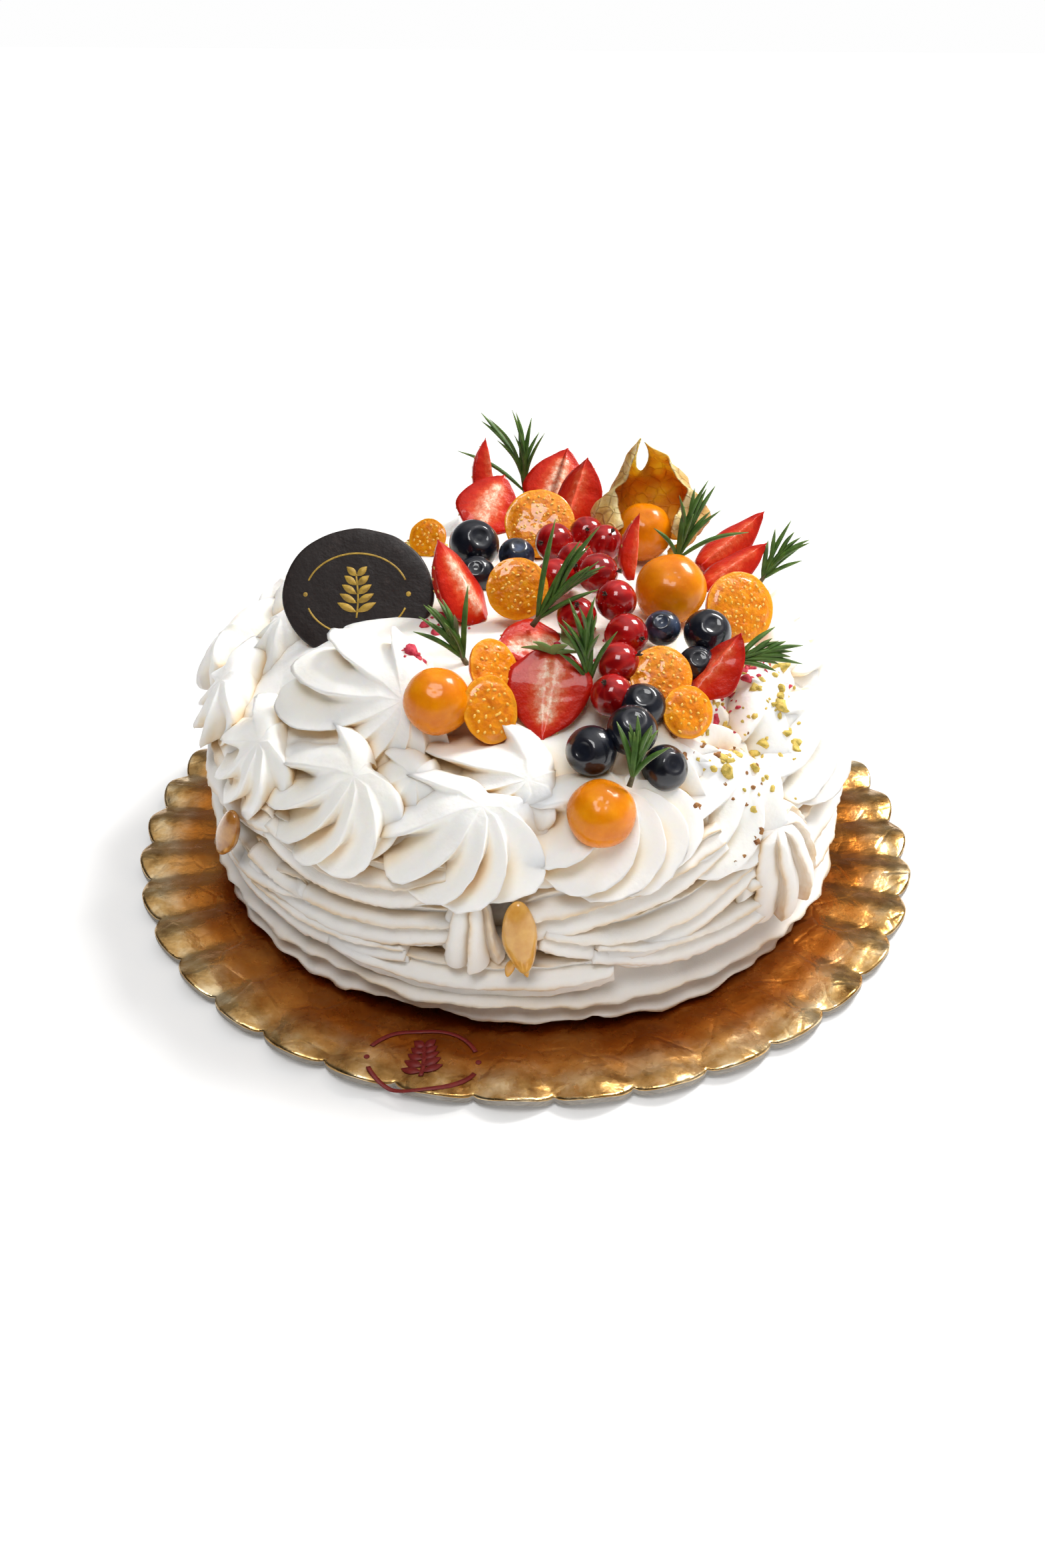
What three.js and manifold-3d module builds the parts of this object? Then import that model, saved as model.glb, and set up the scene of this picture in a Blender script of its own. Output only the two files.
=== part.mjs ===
// A fruit pavlova on its scalloped gold card, as a three.js scene graph.
// Millimetres, +Z up, the front of the cake faces -Y, and the card's underside is the level z = 0.
import * as THREE from 'three';
import { mergeVertices } from 'three/addons/utils/BufferGeometryUtils.js';
import Module from 'manifold-3d';

const wasm = await Module();
wasm.setup();

// ---------------------------------------------------------------- driving dimensions

const GAP = 0.3;                    // clear distance between neighbouring pieces
const OVERLAP = 4;                  // how far shapes that are joined reach into each other
const ABOVE = 200;                  // a level above the whole cake
const COARSE = { shortest: 1.2, turn: 32 };   // the detail worth keeping in the piped parts
const FLAT = { shortest: 8, turn: 1.5 };      // and in the flat faces that the cuts leave

const CARD = {
  scallops: 38,
  tip: 118,                         // radius at the tip of a scallop
  valley: 115,                      // radius between two scallops
  firstValley: 27.3,                // degrees, the direction of one valley
  flat: 84,                         // radius of the flat middle
  thick: 2.4,
  rise: 2.2,                        // height that the rim climbs
  flute: 1,                         // half height of a flute at the edge
  bend: 102,                        // radius at which the rim is half way up
};

const BASE = {
  bottom: CARD.thick + GAP,
  // The foot with its two lips: level over the bottom, and radius.
  foot: [[0, 86], [1.9, 92.6], [5.6, 89.3], [7.9, 94], [12, 88], [24, 86.5]],
  core: 83,
  coreFoot: 19,
  coreNeck: 34.5,                   // level at which the core starts to narrow
  wall: 94.5,                       // radius that the swags reach out to
  seat: 83,                         // radius of the flat top under the cream
  top: 49.5,
  hem: 95,                          // radius and level of the edge that the cream hangs over
  hemLevel: 42,
};

const CREAM = {
  slots: 16,                        // rosettes round the outer tier
  firstSlot: -78,                   // degrees, the rosette below the front fruit
  outerRing: 83,
  outerLevel: 58.5,
  outerRadius: 21,
  body: [[0, 83.5], [45, 81.5], [60, 75.5], [72, 67.5], [84, 57], [90, 45.5]],   // radius and level
};

const PHYSALIS = 15.5;              // usual diameter
const BLUEBERRY = 10.5;
const CURRANT = 10.8;

const COLOURS = {
  card: [0xb98a3c, 0.3, 0.9],
  base: [0xf3ece2, 0.7, 0],
  cream: [0xfaf6ee, 0.5, 0],
  caramel: [0xdba04e, 0.25, 0],
  chocolate: [0x2a1a16, 0.6, 0],
  physalis: [0xf08a0c, 0.2, 0],
  husk: [0xd9a85a, 0.7, 0],
  blueberry: [0x1b2233, 0.3, 0],
  currant: [0xa80010, 0.12, 0],
  strawberry: [0xcf2a1c, 0.3, 0],
  rosemary: [0x4a7a2c, 0.6, 0],
};

// ---------------------------------------------------------------- small helpers

const UP = new THREE.Vector3(0, 0, 1);
const radians = THREE.MathUtils.degToRad;
const lerp = THREE.MathUtils.lerp;
const smooth = THREE.MathUtils.smoothstep;

// The same numbers between 0 and 1 on every run.
function seeded(seed) {
  let state = seed * 2654435761 % 4294967296;
  return () => {
    state = (state * 1664525 + 1013904223) % 4294967296;
    return state / 4294967296;
  };
}

// A point at a polar place round the cake's axis.
function polar(radius, degrees, z) {
  const angle = radians(degrees);
  return new THREE.Vector3(radius * Math.cos(angle), radius * Math.sin(angle), z);
}

// A direction: turn 0 looks out of the front, 90 to the right; rise is measured from level.
function aim(turn, rise) {
  const level = Math.cos(radians(rise));
  const side = Math.sin(radians(turn)) * level;
  return new THREE.Vector3(side, -Math.cos(radians(turn)) * level, Math.sin(radians(rise)));
}

// A frame at a point whose Z is the given axis, X runs level to the right seen from outside
// along that axis, and Y completes it; spin turns the frame round its Z.
function frameAt(at, axis, spin = 0) {
  const z = axis.clone().normalize();
  const x = new THREE.Vector3().crossVectors(UP, z);
  if (x.lengthSq() < 1e-6) x.set(1, 0, 0);
  x.normalize();
  const y = new THREE.Vector3().crossVectors(z, x);
  const frame = new THREE.Matrix4().makeBasis(x, y, z);
  frame.multiply(new THREE.Matrix4().makeRotationZ(radians(spin)));
  return frame.setPosition(at);
}

// A closed skin over rows of points, each row a loop of the same number of points.
function loft(rows) {
  const around = rows[0].length;
  const points = rows.flat();
  const faces = [];
  for (let row = 0; row < rows.length - 1; row += 1) {
    for (let step = 0; step < around; step += 1) {
      const a = row * around + step;
      const b = row * around + (step + 1) % around;
      faces.push(a, b, b + around, a, b + around, a + around);
    }
  }
  for (const end of [0, rows.length - 1]) {
    const middle = new THREE.Vector3();
    rows[end].forEach((point) => middle.add(point));
    points.push(middle.divideScalar(around));
    for (let step = 0; step < around; step += 1) {
      const a = end * around + step;
      const b = end * around + (step + 1) % around;
      faces.push(...(end === 0 ? [points.length - 1, b, a] : [points.length - 1, a, b]));
    }
  }
  const geometry = new THREE.BufferGeometry().setFromPoints(points);
  geometry.setIndex(faces);
  return facingOut(geometry);
}

// A closed skin over the outer and the inner side of a thin sheet, each as rows of points.
function sheetSkin(outer, inner) {
  const wide = outer[0].length;
  const last = outer.length - 1;
  const behind = wide * outer.length;
  const faces = [];
  const bridge = (a, b) => faces.push(b, a, a + behind, b, a + behind, b + behind);
  for (let row = 0; row < last; row += 1) {
    for (let step = 0; step < wide - 1; step += 1) {
      const a = row * wide + step;
      const [b, c, d] = [a + 1, a + wide + 1, a + wide];
      faces.push(a, b, c, a, c, d);
      faces.push(b + behind, a + behind, d + behind, b + behind, d + behind, c + behind);
    }
    bridge((row + 1) * wide, row * wide);
    bridge(row * wide + wide - 1, (row + 1) * wide + wide - 1);
  }
  for (let step = 0; step < wide - 1; step += 1) {
    bridge(step, step + 1);
    bridge(last * wide + step + 1, last * wide + step);
  }
  const geometry = new THREE.BufferGeometry().setFromPoints([...outer.flat(), ...inner.flat()]);
  geometry.setIndex(faces);
  return facingOut(geometry);
}

// Turns the faces over if the skin is inside out.
function facingOut(geometry) {
  const place = geometry.attributes.position;
  const index = geometry.index.array;
  const [a, b, c] = [new THREE.Vector3(), new THREE.Vector3(), new THREE.Vector3()];
  let volume = 0;
  for (let face = 0; face < index.length; face += 3) {
    a.fromBufferAttribute(place, index[face]);
    b.fromBufferAttribute(place, index[face + 1]);
    c.fromBufferAttribute(place, index[face + 2]);
    volume += a.dot(b.cross(c));
  }
  if (volume < 0) geometry.setIndex(Array.from(index).reverse());
  return geometry;
}

// Only the places are left, so that shared points can be merged.
function stripped(geometry) {
  geometry.deleteAttribute('normal');
  geometry.deleteAttribute('uv');
  return geometry;
}

// A unit ball whose points are moved by a function of its direction.
function ball(around, rings, shape) {
  const sphere = new THREE.SphereGeometry(1, around, rings);
  const geometry = mergeVertices(stripped(sphere));
  const place = geometry.attributes.position;
  const point = new THREE.Vector3();
  for (let i = 0; i < place.count; i += 1) {
    point.fromBufferAttribute(place, i);
    point.set(point.x, -point.z, point.y);
    shape(point);
    place.setXYZ(i, point.x, point.y, point.z);
  }
  return geometry;
}

function solidOf(geometry) {
  const vertProperties = Float32Array.from(geometry.attributes.position.array);
  const triVerts = Uint32Array.from(geometry.index.array);
  return new wasm.Manifold(new wasm.Mesh({ numProp: 3, vertProperties, triVerts }));
}

function joined(geometries) {
  return geometries.map(solidOf).reduce((whole, piece) => whole.add(piece));
}

// The largest body of a solid, as a geometry; scraps that a cut leaves are dropped.
function mainBody(solid) {
  const mesh = solid.getMesh();
  const points = [];
  for (let i = 0; i < mesh.vertProperties.length; i += mesh.numProp) {
    points.push(new THREE.Vector3(...mesh.vertProperties.slice(i, i + 3)));
  }
  const owner = points.map((_, i) => i);
  const find = (i) => {
    let root = i;
    while (owner[root] !== root) root = owner[root];
    return root;
  };
  const faces = mesh.triVerts;
  for (let face = 0; face < faces.length; face += 3) {
    owner[find(faces[face])] = find(faces[face + 1]);
    owner[find(faces[face + 1])] = find(faces[face + 2]);
  }
  const bodies = new Map();
  for (let face = 0; face < faces.length; face += 3) {
    const root = find(faces[face]);
    if (!bodies.has(root)) bodies.set(root, []);
    bodies.get(root).push(faces[face], faces[face + 1], faces[face + 2]);
  }
  const largest = [...bodies.values()].reduce((a, b) => (spread(points, b) > spread(points, a) ? b : a));
  const geometry = new THREE.BufferGeometry().setFromPoints(points);
  geometry.setIndex(largest);
  return mergeVertices(trimmed(geometry), 1e-5);
}

function spread(points, faces) {
  const box = new THREE.Box3();
  faces.forEach((i) => box.expandByPoint(points[i]));
  return box.getSize(new THREE.Vector3()).length();
}

// The geometry without the points that no face uses.
function trimmed(geometry) {
  const renumbered = new Map();
  const points = [];
  const place = geometry.attributes.position;
  const index = Array.from(geometry.index.array).map((i) => {
    if (!renumbered.has(i)) {
      renumbered.set(i, points.length);
      points.push(new THREE.Vector3().fromBufferAttribute(place, i));
    }
    return renumbered.get(i);
  });
  const kept = new THREE.BufferGeometry().setFromPoints(points);
  kept.setIndex(index);
  return kept;
}

// The normal of a face of three points, as long as twice its area.
function normalOf([a, b, c]) {
  return new THREE.Vector3().subVectors(b, a).cross(new THREE.Vector3().subVectors(c, a));
}

// The same skin without its shorter edges: one end of such an edge is drawn into the other one,
// as long as the skin stays closed and no face is turned by more than a few degrees.
function thinned(geometry, { shortest, turn }) {
  const place = geometry.attributes.position;
  const pointAt = (_, i) => new THREE.Vector3().fromBufferAttribute(place, i);
  const points = Array.from({ length: place.count }, pointAt);
  const around = points.map(() => new Set());
  const index = geometry.index.array;
  for (let i = 0; i < index.length; i += 3) {
    const face = [index[i], index[i + 1], index[i + 2]];
    face.forEach((corner) => around[corner].add(face));
  }
  const neighbours = (point) => new Set([...around[point]].flat().filter((other) => other !== point));
  const fits = (gone, kept) => {
    const shared = [...neighbours(gone)].filter((point) => neighbours(kept).has(point));
    if (shared.length !== 2) return false;
    return [...around[gone]].filter((face) => !face.includes(kept)).every((face) => {
      const before = normalOf(face.map((corner) => points[corner]));
      const after = normalOf(face.map((corner) => points[corner === gone ? kept : corner]));
      const limit = Math.cos(radians(turn)) * before.length() * after.length();
      return before.dot(after) > limit && after.length() > 0.02;
    });
  };
  const draw = (gone, kept) => {
    for (const face of [...around[gone]]) {
      if (face.includes(kept)) {
        face.forEach((corner) => around[corner].delete(face));
      } else {
        face[face.indexOf(gone)] = kept;
        around[kept].add(face);
      }
    }
    around[gone].clear();
  };
  for (let changed = true; changed;) {
    changed = false;
    for (let point = 0; point < points.length; point += 1) {
      const away = (other) => points[other].distanceTo(points[point]);
      const near = [...neighbours(point)].filter((other) => away(other) < shortest);
      near.sort((a, b) => away(a) - away(b));
      const kept = near.find((other) => fits(point, other));
      if (kept !== undefined) draw(point, kept);
      changed ||= kept !== undefined;
    }
  }
  const faces = new Set(around.flatMap((set) => [...set]));
  const thin = new THREE.BufferGeometry().setFromPoints(points);
  thin.setIndex([...faces].flat());
  return trimmed(thin);
}

// ---------------------------------------------------------------- piped shapes

// What the star nozzle leaves across one ridge, as part of its width and height: a valley, a long
// rise to a sharp lip, and a short drop into the next valley.
const LIP = 0.82;
const EDGE = [[0, 0], [LIP, 1]];

// A piped rosette or shell: ridges run from its eye over a lobed rim and tuck in below. Most of
// them fall in the open fan, in the direction fan; eye moves the eye across, and sweep is the
// turn of a ridge on its way down; behind the fan the rosette is shorter by the part tail.
function rosette(spec) {
  const { at, axis, radius, height, fan = 235, ridges = 9, sweep = -70, eye = [0, 0], seed = 1 } = spec;
  const { depth = 0.2, rings = 4, open = 0.55, under = 0.8, tail = 0.5, wide = 1 } = spec;
  const draw = seeded(seed);
  const strength = Array.from({ length: ridges }, () => lerp(0.75, 1.15, draw()));
  const nudge = Array.from({ length: ridges }, () => lerp(-0.12, 0.12, draw()));
  const rows = [];
  for (let ring = 1; ring < rings; ring += 1) {
    const down = ring / rings;
    const arc = Math.PI * down ** 0.82;
    const toEye = 1 - smooth(down, 0, 0.75);
    const row = [];
    for (let ridge = 0; ridge < ridges; ridge += 1) {
      for (const [part, crest] of EDGE) {
        const across = 2 * (ridge + part + nudge[ridge] * Math.sin(Math.PI * part)) / ridges - 1;
        const angle = radians(fan + 180 * across * lerp(open, 1, across ** 2) + sweep * (down - 0.5));
        const relief = depth * strength[ridge] * smooth(down, 0, 0.35);
        const lobe = 1 - relief * (1 - crest) * (1 - 0.6 * smooth(down, 0.75, 1));
        const behind = (1 - Math.cos(angle - radians(fan))) / 2;
        const reach = radius * (1 - tail * behind ** 2) * Math.sin(arc) ** 0.75 * lobe;
        const level = Math.cos(arc);
        const deepest = 0.55 * radius;
        const z = (height * level * (level > 0 ? 1 : under) + deepest) * lobe - deepest;
        const x = wide * reach * Math.cos(angle) + eye[0] * toEye;
        row.push(new THREE.Vector3(x, reach * Math.sin(angle) + eye[1] * toEye, z));
      }
    }
    rows.push(row);
  }
  return loft(rows).applyMatrix4(frameAt(at, axis));
}

// A piped rope with a star section. path(s) gives the centre for s from 0 to 1, out(s) the
// direction in which its teeth show, and thick(s) its radius; the back of it stays plain. The
// lips of the teeth point to one side of it, and to the other one if way is -1.
function rope({ path, out, thick, teeth = 5, steps = 4, depth = 0.3, way = 1 }) {
  const rows = [];
  for (let station = 0; station <= steps; station += 1) {
    const s = station / steps;
    const along = path(Math.min(s + 0.02, 1)).sub(path(Math.max(s - 0.02, 0))).normalize();
    const face = out(s).clone().addScaledVector(along, -out(s).dot(along)).normalize();
    const side = new THREE.Vector3().crossVectors(along, face).multiplyScalar(way);
    const row = [];
    const corner = (degrees, reach) => {
      const angle = radians(degrees);
      const point = path(s).addScaledVector(face, reach * Math.cos(angle));
      row.push(point.addScaledVector(side, reach * Math.sin(angle)));
    };
    for (let tooth = 0; tooth < teeth; tooth += 1) {
      for (const [part, crest] of EDGE) {
        const degrees = 200 * ((tooth + part) / teeth - 0.5);
        corner(degrees, thick(s) * (1 - depth * (1 - crest)));
      }
    }
    corner(100, thick(s) * (1 - depth));
    corner(180, thick(s) * 0.5);
    rows.push(row);
  }
  return loft(rows);
}

// ---------------------------------------------------------------- the card

function cardHeight(radius, degrees) {
  const climb = smooth(radius, CARD.flat, 2 * CARD.bend - CARD.flat);
  const flute = Math.cos(radians((degrees - CARD.firstValley) * CARD.scallops));
  return CARD.rise * climb - CARD.flute * climb * flute;
}

function card() {
  const around = CARD.scallops * 3;
  const edge = (degrees) => {
    const bulge = Math.abs(Math.sin(radians((degrees - CARD.firstValley) * CARD.scallops / 2)));
    return lerp(CARD.valley, CARD.tip, bulge ** 0.8);
  };
  const radii = [() => CARD.flat, () => CARD.bend, edge];
  const loop = (radius, lift) => Array.from({ length: around }, (_, step) => {
    const degrees = CARD.firstValley + 360 * step / around;
    return polar(radius(degrees), degrees, cardHeight(radius(degrees), degrees) + lift);
  });
  const under = [radii[0], radii[2]].map((radius) => loop(radius, 0));
  const over = radii.toReversed().map((radius) => loop(radius, CARD.thick));
  return loft([...under, ...over]);
}

// ---------------------------------------------------------------- the meringue base

// The foot: two thin and slightly uneven lips that run round under a plain wall.
function foot() {
  const around = 28;
  const rows = BASE.foot.map(([level, radius], row) => Array.from({ length: around }, (_, step) => {
    const degrees = 360 * step / around;
    const wave = Math.sin(radians(degrees * 5 + row * 70)) + 0.6 * Math.sin(radians(degrees * 11 + row * 40));
    const lift = row === 0 ? 0 : 0.7 * Math.sin(radians(degrees * 3 + 50));
    return polar(radius + wave * 0.7, degrees, BASE.bottom + level + lift);
  }));
  return loft(rows);
}

function turned(profile, around) {
  const outline = profile.map(([x, y]) => new THREE.Vector2(x, y));
  const geometry = new THREE.LatheGeometry(outline, around).rotateX(Math.PI / 2);
  return facingOut(mergeVertices(stripped(geometry)));
}

function core() {
  return turned([
    [0, BASE.coreFoot], [BASE.core, BASE.coreFoot], [BASE.core, BASE.coreNeck],
    [BASE.seat - OVERLAP, BASE.top + OVERLAP], [0, BASE.top + OVERLAP],
  ], 16);
}

// All that lies below the cream: the base is cut to it, and the cream is cut clear of it.
function belowCream(grow) {
  const outside = BASE.hem + OVERLAP;
  return turned([
    [0, -1], [outside, -1], [outside, BASE.hemLevel - OVERLAP + grow], [BASE.hem + grow, BASE.hemLevel],
    [BASE.seat + grow, BASE.top + grow], [0, BASE.top + grow],
  ], 24);
}

// The curve through three values: at its start, its middle and its end.
function bend([start, middle, end], s) {
  return start * (1 - s) * (1 - 2 * s) + 4 * middle * s * (1 - s) + end * s * (2 * s - 1);
}

// A rope that hangs along the side from one direction to another.
function swag({ from, to, level, thick, ...rest }) {
  return rope({
    path: (s) => polar(BASE.wall - bend(thick, s), lerp(from, to, s), bend(level, s)),
    out: (s) => polar(1, lerp(from, to, s), -0.15),
    thick: (s) => bend(thick, s),
    way: Math.sign(to - from),
    ...rest,
  });
}

// A kiss: a short fluted drop hanging down the side, wider at its lower end.
function kiss({ degrees, high, low, top, end, slant = 0, proud = 1 }) {
  const wide = (s) => lerp(top, end, s ** 0.8);
  const out = (s) => BASE.wall + proud - wide(s) + 2 * Math.sin(Math.PI * s);
  return rope({
    path: (s) => polar(out(s), degrees + slant * s, lerp(high, low, s)),
    out: (s) => polar(1, degrees + slant * s, 0.1),
    thick: (s) => wide(s) * (s > 0.9 ? 0.45 : 1),
    teeth: 4,
    depth: 0.4,
  });
}

// The ropes that show from the front, from right to left and downwards, then two rows by rule.
const SWAGS = [
  { from: -92, to: -59, level: [36, 41, 52], thick: [8, 9.5, 5] },
  { from: -88, to: -50, level: [33, 29, 44], thick: [6, 9, 5] },
  { from: -80, to: -38, level: [28, 23, 31], thick: [6, 9, 6] },
  { from: -134, to: -100, level: [47, 40, 49], thick: [6, 9.5, 5] },
  { from: -141, to: -99, level: [31, 28, 35], thick: [8, 9.5, 6] },
  { from: -152, to: -108, level: [26, 21, 24], thick: [6, 7.5, 5] },
  { from: -122, to: -76, level: [20, 17.5, 21], thick: [5, 7.5, 5.5], teeth: 4 },
  ...[-54, 1, 56, 111, 166].flatMap((from, i) => [
    { from, to: from + 62, level: [35, 38 + i % 2, 47], thick: [9, 10, 6], teeth: 4 },
    { from: from + 8, to: from + 68, level: [28, 22 + i % 3, 31], thick: [7, 9.5, 6], teeth: 4 },
  ]),
];
const KISSES = [
  { degrees: -97.5, high: 44, low: 22.5, top: 4, end: 9.5, slant: -0.5 },
  { degrees: -50, high: 52, low: 21, top: 7, end: 18, slant: 9, proud: 4 },
  { degrees: 128, high: 44, low: 24, top: 6, end: 10 },
];

function meringueBase() {
  const whole = joined([core(), foot(), ...SWAGS.map(swag), ...KISSES.map(kiss)]);
  return whole.intersect(solidOf(belowCream(0)));
}

// ---------------------------------------------------------------- the cream

// How the rosettes at the front differ from the rule.
const FRONT = [
  { eye: [3, 5], fan: 262, sweep: -120 },
  { eye: [5, 4], fan: 248, sweep: -85 },
  { eye: [9, 3], fan: 226, sweep: -75 },
];

function outerRosette(slot) {
  const draw = seeded(slot + 20);
  const degrees = CREAM.firstSlot - 360 * slot / CREAM.slots + lerp(-2, 2, draw());
  const ring = CREAM.outerRing + lerp(-1.5, 1.5, draw());
  const tilt = lerp(41, 47, draw());
  return rosette({
    at: polar(ring, degrees, CREAM.outerLevel + lerp(-2, 2, draw())),
    axis: polar(Math.cos(radians(tilt)), degrees, Math.sin(radians(tilt))),
    radius: CREAM.outerRadius * lerp(0.92, 1.08, draw()),
    height: lerp(7.5, 9, draw()),
    eye: [8, 3],
    tail: 0.65,
    fan: 238 + lerp(-10, 10, draw()),
    sweep: -85,
    ridges: 7,
    wide: 1.15,
    seed: slot + 3,
    ...FRONT[slot],
  });
}

// The rosettes of the upper tier: place round the cake, distance out, level and size, and the
// direction that one faces if it isn't straight out.
const UPPER = [
  {
    degrees: -128, ring: 66, z: 71.5, radius: 26, height: 9, tilt: 43, face: -103,
    eye: [11, 6], fan: 196, ridges: 9, depth: 0.17, tail: 0.6,
  },
  {
    degrees: -98, ring: 72, z: 63.5, radius: 21, height: 10, tilt: 46, eye: [13, 0], fan: 186, ridges: 7,
    open: 0.42, tail: 0.7,
  },
  { degrees: -60, ring: 74, z: 62.5, radius: 23, height: 10, tilt: 42, eye: [-6, 7], fan: 300, ridges: 9 },
  { degrees: -33, ring: 73, z: 62.5, radius: 22, height: 10, tilt: 45, eye: [-4, 6], fan: 290, ridges: 8 },
  { degrees: -6, ring: 69, z: 65.5, radius: 22, height: 10, tilt: 52, eye: [-3, 6], fan: 290, ridges: 8 },
  ...[20, 47, 74, 101, 128, 155, 182].map((degrees, i) => ({
    degrees, ring: 65 + i % 2, z: 66 + i % 3, radius: 22 + i % 2, height: 10, tilt: 54, eye: [8, 5],
    ridges: 6,
  })),
];

function upperRosette({ degrees, ring, z, tilt, face = degrees, ...rest }, seed) {
  const axis = polar(Math.cos(radians(tilt)), face, Math.sin(radians(tilt)));
  return rosette({ at: polar(ring, degrees, z), axis, seed: seed + 60, ...rest });
}

// The plain cream under the rosettes and the fruit.
function body(grow) {
  const outline = CREAM.body.map(([radius, z]) => [radius + (radius > 0 ? grow : 0), z + grow]);
  const low = BASE.top - OVERLAP;
  return turned([[0, low], [CREAM.body.at(-1)[0], low], ...outline.toReversed()], 20);
}

function rosettes() {
  const outerTier = Array.from({ length: CREAM.slots }, (_, slot) => outerRosette(slot));
  return joined([...outerTier, ...UPPER.map(upperRosette)]);
}

// ---------------------------------------------------------------- fruit and leaves

// Each maker takes how far to grow the piece, so that a neighbour can be cut clear of it.

function roundFruit({ at, across, tall = 1, axis = aim(0, 50), dimple = 0, sides = [9, 6] }) {
  return (grow) => ball(...sides, (point) => {
    const eye = dimple * Math.max(0, point.z - 0.8) / 0.2;
    point.multiplyScalar(across / 2 + grow);
    point.z = point.z * tall - eye * across;
  }).applyMatrix4(frameAt(at, axis));
}

// A half fruit: a dome behind a flat cut face that looks along the axis.
function halfFruit({ at, across, deep = 0.42, axis, squash = 1, spin = 0 }) {
  return (grow) => ball(9, 4, (point) => {
    const radius = across / 2 + grow;
    const out = Math.hypot(point.x, point.y);
    const face = point.z > 0.1;
    const wide = face ? Math.min(1, out * 1.02) : out;
    const scale = out > 0 ? radius * wide / out : 0;
    const back = point.z * (across * deep + grow);
    const front = 0.06 * across * (1 - out ** 4) + grow;
    point.set(point.x * scale, point.y * scale * squash, face ? front : back);
  }).applyMatrix4(frameAt(at, axis, spin));
}

// How wide a strawberry is from its leafy end to its tip.
const FRUIT_SWELL = [0.5, 1, 0.96, 0.66, 0.1];

// A wedge or half of a long fruit. along points from the leafy end to the tip; facing is the
// direction that the cut side looks in; open is the angle of the outer skin, 180 for a half.
function wedgeFruit({ at, along, facing, long, wide, open = 180 }) {
  return (grow) => {
    const axis = along.clone().normalize();
    const face = facing.clone().addScaledVector(axis, -facing.dot(axis)).normalize();
    const side = new THREE.Vector3().crossVectors(axis, face);
    const rows = [];
    const stations = FRUIT_SWELL.length - 1;
    for (let station = 0; station <= stations; station += 1) {
      const s = station / stations;
      const radius = wide / 2 * FRUIT_SWELL[station] + grow;
      const centre = at.clone().addScaledVector(axis, (s - 0.5) * (long + 2 * grow));
      const row = [];
      for (let step = 0; step <= 4; step += 1) {
        const angle = radians(180 + open * (step / 4 - 0.5));
        const point = centre.clone().addScaledVector(face, radius * Math.cos(angle) + grow * 0.5);
        row.push(point.addScaledVector(side, radius * Math.sin(angle)));
      }
      row.push(centre.clone().addScaledVector(face, 0.12 * radius + grow));
      rows.push(row);
    }
    return loft(rows);
  };
}

// A narrow leaf from a root, bowed upwards and a little wavy, pointed at its tip.
function needle(root, direction, long, wide, thick, grow) {
  const axis = direction.clone().normalize();
  const side = new THREE.Vector3().crossVectors(UP, axis).normalize();
  const over = new THREE.Vector3().crossVectors(axis, side);
  const rows = [];
  const stations = 2;
  for (let station = 0; station <= stations; station += 1) {
    const s = station / stations;
    const swell = [0.55, 1, 0.12][station];
    const centre = root.clone().addScaledVector(axis, long * s);
    centre.addScaledVector(over, long * 0.07 * Math.sin(Math.PI * s));
    centre.addScaledVector(side, long * 0.02 * Math.sin(5 * s + long));
    const half = wide / 2 * swell + grow;
    const rise = thick * swell + grow;
    rows.push([
      centre.clone().addScaledVector(side, half),
      centre.clone().addScaledVector(side, -half),
      centre.clone().addScaledVector(over, -rise),
    ]);
  }
  return loft(rows);
}

// A sprig: needles that leave one stem end. Each needle is its turn, rise and length.
function sprig({ at, needles, wide = 2.1, thick = 1 }) {
  return (grow) => {
    const stem = ball(5, 3, (point) => point.multiplyScalar(1.5 + grow).add(at));
    const leaves = needles.map(([turn, rise, long]) => (
      needle(at, aim(turn, rise), long + grow, wide, thick, grow)));
    return joined([stem, ...leaves]);
  };
}

// The papery husk: a thin ribbed sheet round the back of its fruit, drawn up into a narrow horn
// and a broad one that slopes down to the right.
function husk({ at, radius, height }) {
  const steps = 12;
  const levels = 3;
  const thick = 0.7;
  return (grow) => {
    const sheet = (inset) => {
      const rows = [];
      for (let level = 0; level <= levels; level += 1) {
        const up = level / levels;
        const row = [];
        for (let step = 0; step <= steps; step += 1) {
          const part = step / steps;
          const degrees = lerp(-62, 222, part);
          const rib = 0.7 * Math.cos(radians(part * 360 * 5));
          const leftHorn = Math.exp(-(((part - 2 / 3) / 0.06) ** 2));
          const rightHorn = Math.exp(-(((part - 0.5) / (part > 0.5 ? 0.05 : 0.2)) ** 2));
          const low = 0.55 - 0.3 * Math.abs(2 * part - 1) ** 3;
          const edge = height * (low + 0.45 * leftHorn + 0.38 * rightHorn);
          const belly = Math.sin(Math.PI * (0.18 + 0.6 * up));
          const reach = radius * belly * (1 - 0.55 * up ** 3 * Math.max(leftHorn, rightHorn)) + rib - inset;
          row.push(polar(reach, degrees, edge * up).add(at));
        }
        rows.push(row);
      }
      return rows;
    };
    return sheetSkin(sheet(-grow), sheet(thick + grow));
  };
}

// ---------------------------------------------------------------- the toppings, in order

const v = (x, y, z) => new THREE.Vector3(x, y, z);

const toppings = [];
function topping(name, colour, maker) {
  toppings.push({ name, colour, maker });
}

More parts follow.
